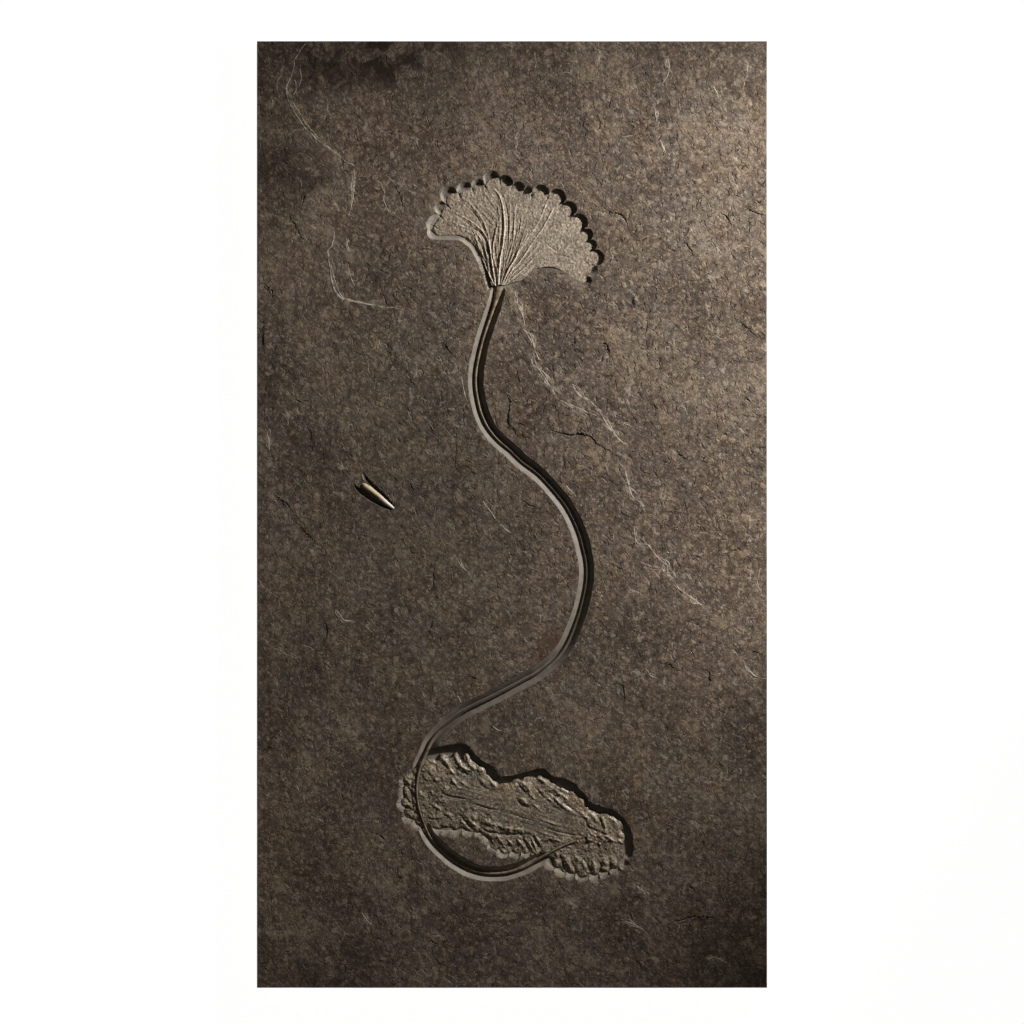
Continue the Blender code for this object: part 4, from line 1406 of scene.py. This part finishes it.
def fanHeight(x, y):
    f = fan
    dx, dy = x - calyx[0], y - calyx[1]
    reach = np.hypot(dx, dy)
    angle = np.arctan2(dy, dx)
    share = np.clip(reach / f["reach"], 0, 1)
    # to the left it drops early and then runs level, to the right it falls away evenly
    toRight = ease(dx, -50, 60)
    height = slab["face"] + f["crest"] - f["fall"] * toRight * share**1.3
    height = height - f["leftFall"] * (1 - toRight) * share**0.75
    near = ease(reach, 130, 30)
    # fine fibres that fan out from the calyx
    across = (angle + 0.35 * share * np.cos(angle)) * 60
    fibres = waviness(across / 1.9, reach / 30, 41) + 0.7 * waviness(across / 1.05, reach / 16, 43)
    height = height + f["fibre"] * (near * 0.9 + 0.2) * fibres * ease(reach, 8, 26)
    height = raised(height, x, y, [rooted(arm) for arm in arms], f["arm"], armStrength)
    height = raised(height, x, y, grooves, f["groove"], grooveStrength)
    height = height - f["overFace"] * np.maximum(height - slab["face"] - 1, 0)
    # clefts run in from the cusps between the lobes
    for i, (cx, cy, bow) in enumerate(fanRim):
        if min(bow, fanRim[i - 1][2]) < scallopBow:
            continue
        toCalyx = Vector((calyx[0] - cx, calyx[1] - cy)).normalized()
        length = 5 + 12 * float(scatter(np.int64(i), np.int64(3), 5))
        end = (cx + toCalyx.x * length, cy + toCalyx.y * length)
        apart, along, _ = nearPath(x, y, [(cx, cy), end])
        height = height - 1.6 * (1 - along) ** 1.5 * np.exp(-((apart / 1.2) ** 2))
    far = ease(reach, 40, 110)
    grain = roughness(x, y, 4.6, 2, 71, 0.8) + 0.7 * roughness(x, y, 13, 2, 73)
    height = height + f["grain"] * (0.55 + 0.45 * far) * grain
    edge, _, _ = nearPath(x, y, fanFoot, True)
    # the lobes round off, while the lower flanks run straight into the rock
    lobed = ease(y - 0.35 * np.abs(dx), 412, 446)
    flank = (1 - ease(x, -52, -36)) * (1 - ease(y, 478, 494))
    height = height - f["flank"] * flank * np.exp(-edge / 16)
    return height - (0.2 + f["edge"] * lobed) * np.exp(-edge / 2.0) - 0.4 * lobed * np.exp(-edge / 8)


def makeUpperCrown():
    outline = inset(fanFoot, 0.25)
    sheet = makeRelief("upperCrown", fanHeight, fan["area"], fan["cell"], outline, 4)
    finish(sheet, "upper_crown", "crown_calcite", makeCrownCalcite(), angle=60)


stem = dict(
    topRadius=5.5, radius=3.2, taper=90, lift=2.8, ring=2.4, ringDepth=0.18,
    flare=1.35, flareLength=46, spacing=0.8, clearance=0.25,
    # how far along it, in millimetres, and the share of its radius that it keeps there
    thick=[(0, 0.74), (50, 0.7), (110, 0.7), (250, 0.7), (330, 0.5), (700, 0.5), (830, 0.66),
           (900, 0.84), (1100, 0.84), (1160, 0.56), (1300, 0.56), (1360, 0.8), (1500, 0.8)],
)


def overCrown(x, y):
    # 1 where the stem is lifted over the lower crown, 0 in the channel
    left = min(max((-400 - y) / 40, 0), 1) * min(max((y + 572) / 32, 0), 1)
    right = min(max((x - 36) / 30, 0), 1) if y < -560 else 0
    share = max(left, right)
    return share * share * (3 - 2 * share)


def stemLine(spacing, ringed):
    s = stem
    path, radii, travelled, before = [], [], 0, None
    for x, y in smoothPath(stemRoute, spacing):
        travelled += math.dist(before, (x, y)) if before else 0
        before = (x, y)
        taper = max(0, 1 - travelled / s["taper"])
        radius = s["radius"] + (s["topRadius"] - s["radius"]) * taper**1.5
        rest = slab["face"] - pits["wallDepth"] + 0.3 + radius
        path.append((x, y, rest + s["lift"] * overCrown(x, y)))
        if ringed:
            # thin discs with a groove between each two
            phase = (travelled / s["ring"]) % 1
            radius -= s["ringDepth"] * (1 - min(1, 5 * min(phase, 1 - phase)))
        radii.append(radius)
    return path, radii


def stemClearance():
    path, radii = stemLine(6, False)
    return tube("stemClearance", path, [r + stem["clearance"] for r in radii], 4)


def makeStem():
    s = stem
    path, radii = stemLine(s["spacing"], True)
    gaps = [math.dist(a[:2], b[:2]) for a, b in zip(path, path[1:])]
    lengths = np.concatenate([[0], np.cumsum(gaps)])
    share = np.interp(lengths, [t[0] for t in s["thick"]], [t[1] for t in s["thick"]])
    print(f"stem length {lengths[-1]:.0f}")
    path = [(x, y, z - r * (1 - k)) for (x, y, z), r, k in zip(path, radii, share)]
    piece = tube("crinoidStem", path, [r * k for r, k in zip(radii, share)], 3)
    # the top widens sideways into the calyx
    points = coordinates(piece)
    top = np.array([p[:2] for p in path[:80]])
    high = points[:, 1] > top[-1][1]
    rows = np.where(high)[0]
    apart = np.hypot(points[rows, None, 0] - top[:, 0], points[rows, None, 1] - top[:, 1])
    nearest = apart.argmin(axis=1)
    widen = s["flare"] * np.clip(1 - nearest * s["spacing"] / s["flareLength"], 0, 1) ** 1.5
    points[rows, :2] += (points[rows, :2] - top[nearest]) * widen[:, None]
    setCoordinates(piece, points)
    finish(piece, "stem", "stem_calcite", makeStemCalcite(), angle=50)


# the lower crown: a streaked band of straight arms with curled arm ends all round it
lowerCrown = dict(
    area=((-206, -652), (220, -398)), cell=1.0, middle=(14, -523), tilt=math.radians(-17),
    band=24, lump=1.16, curl=0.62, bead=0.6, streak=0.36, hardBead=1.5,
    ridge=dict(amount=0.8, spread=1, spacing=8), furrow=dict(amount=-0.7, spread=1, spacing=8),
)
# ridges and furrows in it: half the width, the height or depth, then the line
crownRidges = fromGrid([
    (3.2, 2.2, [(441, 757), (446, 761), (449, 767)]),
    (2.4, 2.6, [(448, 767), (453, 772), (458, 777)]),
    (2.2, 2.0, [(450, 776), (455, 783), (459, 788)]),
    (3.2, 2.4, [(456, 753), (457, 759), (461, 765), (466, 770)]),
    (2.6, 2.2, [(461, 766), (466, 769), (472, 771)]),
    (4.2, 2.6, [(467, 753), (468, 759), (471, 765), (476, 769), (481, 773)]),
    (3.0, 2.2, [(458, 777), (463, 782), (469, 787)]),
    (3.2, 2.2, [(477, 765), (481, 769), (485, 773)]),
    (2.6, 1.8, [(488, 778), (493, 783), (499, 789)]),
    (2.4, 1.6, [(481, 778), (483, 782), (484, 785)]),
    (3.0, 1.6, [(428, 760), (433, 762), (439, 765)]),
    (4.6, 2.6, [(469, 815.5), (478, 818.5), (488, 822), (500, 826), (515, 828.5), (528, 831),
        (535, 834)]),
    (2.2, 2.4, [(466, 816), (470, 821), (476, 826), (482, 831)]),
    (2.4, 1.8, [(484, 827), (488, 829), (492, 831)]),
    (2.6, 1.8, [(432, 804), (437, 807), (442, 810)]),
    (2.6, 2.2, [(516, 779), (522, 782), (527, 787), (531, 793), (534, 798)]),
    (2.4, 1.8, [(523, 780), (529, 786), (534, 792)]),
    (3.0, 2.2, [(537, 776), (541, 779), (545, 783), (550, 787)]),
    (4.2, 2.6, [(519, 796), (524, 801), (529, 804)]),
    (2.4, 1.8, [(531, 801), (536, 806), (541, 811)]),
    (3.0, 2.2, [(553, 788), (559, 793), (565, 797), (571, 802)]),
    (3.2, 2.6, [(552, 795), (557, 800), (562, 805), (568, 809), (575, 812)]),
    (2.4, 1.6, [(545, 795), (551, 800), (556, 804)]),
    (2.6, 1.8, [(557, 785), (563, 790), (569, 793)]),
    (3.0, 2.4, [(589, 812), (594, 816), (598, 821)]),
    (3.4, 2.2, [(601, 815), (604, 822), (607, 830)]),
    (2.8, 1.8, [(578, 811), (584, 815), (590, 821)]),
    (2.8, 2.0, [(609, 816), (614, 820), (620, 826)]),
    (2.4, 1.8, [(606, 836), (612, 840), (620, 842)]),
    (1.8, 2.2, [(530, 835), (533, 841), (536, 848), (538, 852)]),
    (1.8, 2.0, [(525, 838), (529, 843), (533, 850)]),
    (1.8, 1.8, [(513, 836), (518, 840), (523, 846)]),
    (1.6, 1.8, [(535, 835), (539, 841), (543, 846)]),
    (1.8, 1.6, [(506, 838), (511, 843), (515, 848)]),
    (2.2, 1.4, [(496, 834), (500, 840), (505, 846)]),
    (2.4, 1.4, [(540, 833), (550, 838), (562, 841), (572, 841)]),
    (2.2, 1.1, [(542, 820), (552, 823), (566, 827)]),
    (2.0, 1.2, [(533, 829), (547, 834), (560, 838)]),
    (4.4, 2.6, [(556, 856), (557, 862), (558, 867)]),
    (5.2, 2.8, [(565, 853), (568, 861), (570, 869)]),
    (4.4, 2.4, [(573, 850), (577, 858), (580, 866)]),
    (4.6, 2.6, [(583, 862), (586, 869), (587, 876)]),
    (4.4, 2.4, [(592, 856), (594, 864), (596, 872)]),
    (4.8, 2.6, [(602, 853), (605, 861), (606, 869)]),
    (4.6, 2.4, [(612, 857), (615, 862), (617, 867)]),
])
crownFurrows = fromGrid([
    (1.3, 2.6, [(441, 791), (446, 795), (453, 797), (462, 798.5), (470, 799.5)]),
    (1.3, 2.0, [(469, 803), (480, 806), (492, 809.5), (501, 810.5)]),
    (1.2, 1.6, [(503, 812), (520, 817), (540, 823)]),
    (1.8, 2.4, [(461, 816), (466, 823), (472, 829), (481, 833)]),
    (2.2, 2.6, [(461, 771), (465, 773.5), (470, 776)]),
    (2.0, 2.2, [(442, 764), (446, 766), (449, 769)]),
    (1.8, 2.0, [(452, 764), (455, 768), (458, 771)]),
    (1.8, 1.8, [(452, 770), (458, 777), (464, 782)]),
    (2.0, 1.8, [(479, 784), (485, 788), (491, 791)]),
    (1.3, 2.0, [(545, 828), (560, 832.5), (575, 835.5), (581, 836)]),
    (2.2, 2.4, [(550, 806), (556, 808), (561, 811)]),
    (2.0, 2.6, [(586, 824), (590, 828), (597, 831), (605, 834)]),
    (1.8, 2.2, [(572, 784), (577, 789), (580, 793)]),
    (2.4, 2.4, [(484, 831), (500, 834), (520, 834.5), (528, 835)]),
    (2.0, 2.4, [(488, 836), (491, 842), (494, 847)]),
    (1.6, 2.2, [(521, 836), (526, 845), (529, 852)]),
    (1.6, 2.2, [(533, 836), (537, 844), (541, 851)]),
    (1.8, 2.6, [(561, 857), (563, 866), (566, 873)]),
    (1.6, 2.2, [(551, 856), (554, 864)]),
    (1.8, 2.4, [(571, 861), (575, 869), (577, 875)]),
    (1.8, 2.4, [(580, 855), (588, 866), (591, 875)]),
    (1.8, 2.4, [(599, 860), (601, 866), (600, 872)]),
    (1.8, 2.2, [(609, 860), (610, 866), (610, 871)]),
    (1.6, 2.0, [(535, 787), (539, 792), (544, 798)]),
    (1.6, 2.0, [(546, 789), (552, 794), (557, 798)]),
    (1.6, 2.2, [(517, 783), (522, 789), (526, 795)]),
    (1.8, 2.4, [(516, 799), (522, 805), (530, 808)]),
    (1.6, 2.2, [(567, 805), (572, 809), (578, 813)]),
    (1.6, 2.0, [(596, 814), (601, 822), (604, 831)]),
    (1.8, 1.8, [(413, 770), (411.5, 785), (412, 800), (414, 812), (418, 822)]),
    (1.8, 2.2, [(405, 785), (409, 789), (411, 793)]),
    (1.8, 2.2, [(405, 797), (409, 801), (412, 805)]),
    (1.8, 2.2, [(406, 808), (410, 809), (414, 812)]),
])


def knobs(x, y, seed, sharp=9):
    # rounded lumps of uneven size and height that run softly into one another, about -0.5..1
    total = np.zeros_like(x)
    left, bottom = np.floor(x), np.floor(y)
    for ox in (-1, 0, 1):
        for oy in (-1, 0, 1):
            ix, iy = (left + ox).astype(np.int64), (bottom + oy).astype(np.int64)
            cx = left + ox + scatter(ix, iy, seed)
            cy = bottom + oy + scatter(ix, iy, seed + 1)
            rise = 1.25 * scatter(ix, iy, seed + 2) - 0.25
            wide = 0.55 + 0.4 * scatter(ix, iy, seed + 3)
            apart = ((x - cx) ** 2 + (y - cy) ** 2) / wide**2
            total += np.exp(sharp * (rise * np.clip(1 - apart, 0, 1) ** 1.2 - 0.3 * apart))
    return np.log(total + math.exp(-0.5 * sharp)) / sharp


def fadedEnds(along):
    return np.sin(np.pi * np.clip(along, 0.12, 0.88))


def crownHeight(x, y):
    c = lowerCrown
    dx, dy = x - c["middle"][0], y - c["middle"][1]
    cosT, sinT = math.cos(c["tilt"]), math.sin(c["tilt"])
    along = dx * cosT + dy * sinT
    across = -dx * sinT + dy * cosT
    wander = 9 * waviness(along / 70, across / 50, 83)
    flank = ease(np.abs(across + wander), c["band"] - 12, c["band"] + 14)
    flank = np.maximum(flank, ease(along, 88, 116))
    flank = np.maximum(flank, ease(along, -116, -140))
    height = slab["face"] - 2.2 - 0.02 * np.abs(across)
    # straight arms, side by side
    streaks = waviness(along / 80, across / 5.2, 91) + 0.6 * waviness(along / 36, across / 2.4, 92)
    height = height + c["streak"] * (1 - flank * 0.85) * streaks
    # curled arm ends: lumps that lean down to the right, and hang straight down along the bottom
    warpX = x + 5 * waviness(x / 26, y / 26, 95) + 2 * waviness(x / 9, y / 9, 93)
    warpY = y + 5 * waviness(x / 26, y / 26, 96) + 2 * waviness(x / 9, y / 9, 94)
    hang = ease(-across, 34, 56) * ease(x, 40, 70)
    for lean, share in ((42, 1 - hang), (76, hang)):
        sinL, cosL = math.sin(math.radians(lean)), math.cos(math.radians(lean))
        u, v = warpX * sinL + warpY * cosL, warpY * sinL - warpX * cosL
        height = height + c["lump"] * flank * share * (knobs(u / 9.0, v / 12.5, 97, 12) - 0.3)
        height = height + c["curl"] * flank * share * (knobs(u / 4.8, v / 6.0, 107, 12) - 0.3)
    height = height + c["bead"] * (0.25 + 0.75 * flank) * knobs(x / 3.2, y / 3.2, 117)
    # a patch of small hard beads beside the end of the stem
    patch = np.exp(-(((x - 138) / 30) ** 2) - (((y + 576) / 16) ** 2))
    height = height + c["hardBead"] * patch * knobs(warpX / 6.0, warpY / 5.0, 127, 12)
    height = height + 0.5 * roughness(x, y, 26, 2, 101)
    ragged = np.clip(1 + 0.35 * waviness(x / 7, y / 7, 131), 0.4, 2)
    height = raised(height, x, y, crownRidges, c["ridge"], lambda part: fadedEnds(part) * ragged)
    height = raised(height, x, y, crownFurrows, c["furrow"], fadedEnds)
    edge, _, _ = nearPath(x, y, crownShape, True)
    return height - 2.2 * np.exp(-edge / 2.0) - 0.5 * np.exp(-edge / 9)


def makeLowerCrown():
    c = lowerCrown
    outline = inset(crownShape, 0.05)
    sheet = makeRelief("lowerCrown", crownHeight, c["area"], c["cell"], outline, 5)
    finish(sheet, "lower_crown", "pyritised_calcite", makePyritisedCalcite(), angle=60)


def makeBelemnite():
    path, radii = guardLine()
    piece = tube("belemniteGuard", path, radii, 10)
    # the broken blunt end is ragged
    points = coordinates(piece)
    lump = waviness(points[:, 0] / 3.2, points[:, 1] / 3.2 + points[:, 2] / 4, 61)
    start = np.array(belemnite["end"])
    near = np.exp(-np.hypot(points[:, 0] - start[0], points[:, 1] - start[1]) / 9)
    points[:, 0] += 1.6 * near * lump
    points[:, 1] += 1.2 * near * waviness(points[:, 0] / 3, points[:, 2] / 3, 62)
    setCoordinates(piece, points)
    finish(piece, "belemnite", "belemnite_calcite", makeBelemniteCalcite(), angle=50)


# veins of calcite that stand just proud of the face
# each vein: half its width, how many strands weave along it, then its line
veins = fromGrid([
    (1.5, 2, [(305, 44), (299, 53), (295, 60), (294, 66), (291, 76), (287, 85), (286, 92),
        (288, 100), (292, 108), (297, 116), (303, 125), (311, 134), (320, 142), (329, 149),
        (338, 155), (345, 161), (352, 165), (358, 169)]),
    (0.8, 1, [(300, 66), (301, 78), (298, 88)]),
    (1.1, 1, [(295, 80), (296, 88), (294, 95)]),
    (0.8, 1, [(283, 64), (281, 76), (277, 84), (278, 91), (281, 98)]),
    (0.7, 1, [(271, 95), (273, 103), (271, 108)]),
    (0.8, 1, [(326, 97), (328, 103), (328, 110), (331, 116)]),
    (1.2, 3, [(354, 170), (354, 180), (353, 190), (352, 202), (349, 216)]),
    (0.8, 1, [(381, 182), (384, 192), (384, 200), (388, 210), (393, 216)]),
    (0.8, 1, [(333, 199), (337, 206), (340, 215)]),
    (0.9, 1, [(300, 180), (302, 187)]),
    (1.3, 2, [(334, 228), (334, 236), (331, 246), (328, 252), (329, 262), (330, 272), (333, 284),
        (336, 292), (341, 298), (350, 301), (362, 303), (373, 305), (386, 307), (400, 308)]),
    (1.0, 2, [(346, 238), (348, 248), (351, 256)]),
    (0.9, 1, [(348, 264), (350, 276), (355, 286)]),
    (1.3, 5, [(514, 293), (519, 306), (523, 318), (524, 328)]),
    (1.7, 5, [(523, 328), (530, 336), (533, 344), (535, 352), (539, 360)]),
    (1.2, 6, [(533, 350), (536, 364), (543, 376), (549, 385), (557, 397)]),
    (0.9, 3, [(556, 398), (568, 404), (580, 409), (596, 416)]),
    (1.0, 3, [(572, 384), (580, 395), (590, 402), (598, 409)]),
    (1.5, 5, [(598, 409), (603, 418), (609, 428), (617, 437), (627, 446)]),
    (0.8, 2, [(620, 421), (632, 428)]),
    (1.2, 3, [(619, 462), (625, 470), (627, 480), (630, 491), (634, 498), (640, 502), (646, 512)]),
    (0.9, 1, [(630, 488), (637, 494)]),
    (1.2, 3, [(634, 526), (635, 538), (639, 544), (648, 545), (653, 552), (660, 560)]),
    (1.5, 4, [(658, 558), (666, 566), (668, 574), (674, 579)]),
    (0.9, 2, [(640, 562), (650, 566), (661, 569), (670, 573)]),
    (1.4, 4, [(670, 578), (682, 592), (690, 597), (698, 603), (705, 607)]),
    (1.2, 1, [(566, 485), (571, 491), (576, 497)]),
    (1.2, 1, [(483, 501), (489, 509), (495, 519)]),
    (0.9, 1, [(500, 524), (509, 532)]),
    (1.2, 2, [(335, 609), (339, 615), (344, 620), (354, 622)]),
    (1.0, 1, [(461, 376), (463, 388), (467, 400)]),
    (0.9, 2, [(267, 430), (269, 443), (270, 454)]),
    (0.9, 1, [(402, 351), (408, 358), (416, 363)]),
    (0.8, 2, [(455, 555), (461, 566), (470, 575)]),
    (1.1, 1, [(457, 696), (461, 702)]),
    (1.1, 1, [(490, 724), (500, 731)]),
    (1.2, 2, [(743, 660), (749, 671), (756, 677), (766, 678)]),
    (0.9, 2, [(645, 668), (650, 675), (659, 679)]),
    (1.0, 2, [(620, 918), (632, 924), (641, 928), (648, 935)]),
    (1.0, 2, [(632, 881), (640, 889), (647, 896)]),
    (0.9, 2, [(705, 957), (716, 958), (727, 962)]),
    (0.9, 2, [(362, 910), (367, 920), (374, 926)]),
    (0.9, 1, [(296, 785), (299, 792)]),
    (0.8, 2, [(277, 648), (288, 655), (296, 658)]),
    (0.8, 1, [(303, 645), (314, 650)]),
    (1.0, 3, [(598, 44), (599, 54), (597, 66)]),
    (0.9, 2, [(668, 56), (669, 70), (663, 84)]),
    (0.9, 2, [(746, 60), (747, 72), (742, 90)]),
    (0.9, 1, [(713, 85), (718, 98)]),
    (0.9, 2, [(655, 108), (657, 122)]),
    (0.8, 2, [(660, 140), (666, 154)]),
    (0.8, 1, [(690, 228), (695, 236)]),
    (1.0, 2, [(760, 570), (757, 582), (762, 596)]),
], digits=0)
# the short one above the belemnite, in millimetres
veins.insert(1, (1.0, 1, [(-264, 72), (-262.5, 65), (-259, 58)]))
veinLook = dict(rise=0.3, thin=0.95, spread=7.0, spacing=3.0, wander=1.5, swell=0.45, seed=9)


def makeVeins():
    look = veinLook
    random = np.random.default_rng(look["seed"])
    strands = []
    for width, count, line in veins:
        path = smoothPath(line, look["spacing"])
        for strand in range(count + (2 if count > 1 else 0)):
            reach = 0.2 + 0.5 * random.random() if strand else 1
            first = int(random.uniform(0, 1 - reach) * len(path))
            part = path[first:first + max(5, int(reach * len(path)))]
            offset = random.uniform(-1, 1) * look["spread"] * (strand > 0)
            thin = random.uniform(0.45, 0.8) if strand else 1
            phase = random.uniform(0, 50)
            shares = np.linspace(0, 1, len(part))
            steady = np.full(len(part), phase)
            wobX = waviness(shares * len(part) / 5 + phase, steady, 3)
            wobY = waviness(shares * len(part) / 5 + phase, steady, 4)
            swell = waviness(shares * len(part) / 3 + phase, steady, 5)
            drift = offset * np.sin(np.pi * np.clip(shares + 0.1, 0, 1))
            px = np.array([p[0] for p in part]) + drift + wobX * look["wander"]
            py = np.array([p[1] for p in part]) + drift * 0.5 + wobY * look["wander"]
            ends = 0.3 + 0.7 * np.sin(np.pi * np.clip(shares, 0.05, 0.95)) ** 0.6
            radii = look["thin"] * width * thin * ends * (1 + look["swell"] * swell)
            heights = faceHeight(px, py)
            spine = [(a, b, 0) for a, b in zip(px, py)]
            piece = tube(f"strand{len(strands)}", spine, list(radii), 1)
            shaped = coordinates(piece)
            nearest = np.argmin(np.hypot(shaped[:, None, 0] - px, shaped[:, None, 1] - py), axis=1)
            shaped[:, 2] = shaped[:, 2] * look["rise"] + heights[nearest]
            setCoordinates(piece, shaped)
            strands.append(piece)
    piece = joined(strands)
    piece.name = "calciteVeins"
    finish(piece, None, "shale", makeVeinCalcite(), angle=60)


def makeStage():
    clearSelection()
    bpy.ops.mesh.primitive_plane_add(size=light["floorSize"], location=(0, 0, -0.0005))
    floor = bpy.context.object
    floor.name = "floor"
    made, shader, _ = newMaterial("pale floor")
    plug(shader, Base_Color=light["floorTint"], Roughness=0.9)
    shader.inputs["Emission Color"].default_value = (1, 1, 1, 1)
    shader.inputs["Emission Strength"].default_value = light["floorGlow"]
    floor.data.materials.append(made)
    floor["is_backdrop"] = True
    print("floor")
    lamp = bpy.data.lights.new("key", "SPOT")
    lamp.spot_size = math.radians(light["cone"])
    lamp.spot_blend = light["blend"]
    lamp.shadow_soft_size = light["size"]
    lamp.energy = light["watts"]
    lamp.color = light["tint"]
    key = placed("key", lamp)
    key.location = light["place"]
    aim = Vector(light["aim"]) - Vector(light["place"])
    key.rotation_euler = aim.to_track_quat("-Z", "Y").to_euler()
    world = bpy.data.worlds.new("room")
    world.use_nodes = True
    background = world.node_tree.nodes["Background"]
    background.inputs["Color"].default_value = light["roomTint"]
    background.inputs["Strength"].default_value = light["fill"]
    bpy.context.scene.world = world


def makeCamera():
    # straight above the slab, high enough for it to fill its part of the picture
    lens = bpy.data.cameras.new("camera")
    lens.lens = camera["lens"]
    lens.sensor_width = camera["sensor"]
    view = placed("camera", lens)
    face = slab["face"] * mm
    across = slab["length"] * mm * camera["rows"] / camera["slabRows"]
    view.location = (0, camera["up"], face + across * lens.lens / lens.sensor_width)
    bpy.context.scene.camera = view
    bpy.context.scene.view_settings.view_transform = "Standard"
    print("light and camera")


makeStage()
makeCamera()
makeSlab()
makeUpperCrown()
makeLowerCrown()
makeStem()
makeBelemnite()
makeVeins()
[[list(map(float, corner)) for corner in box] for box in (cadBounds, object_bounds())]
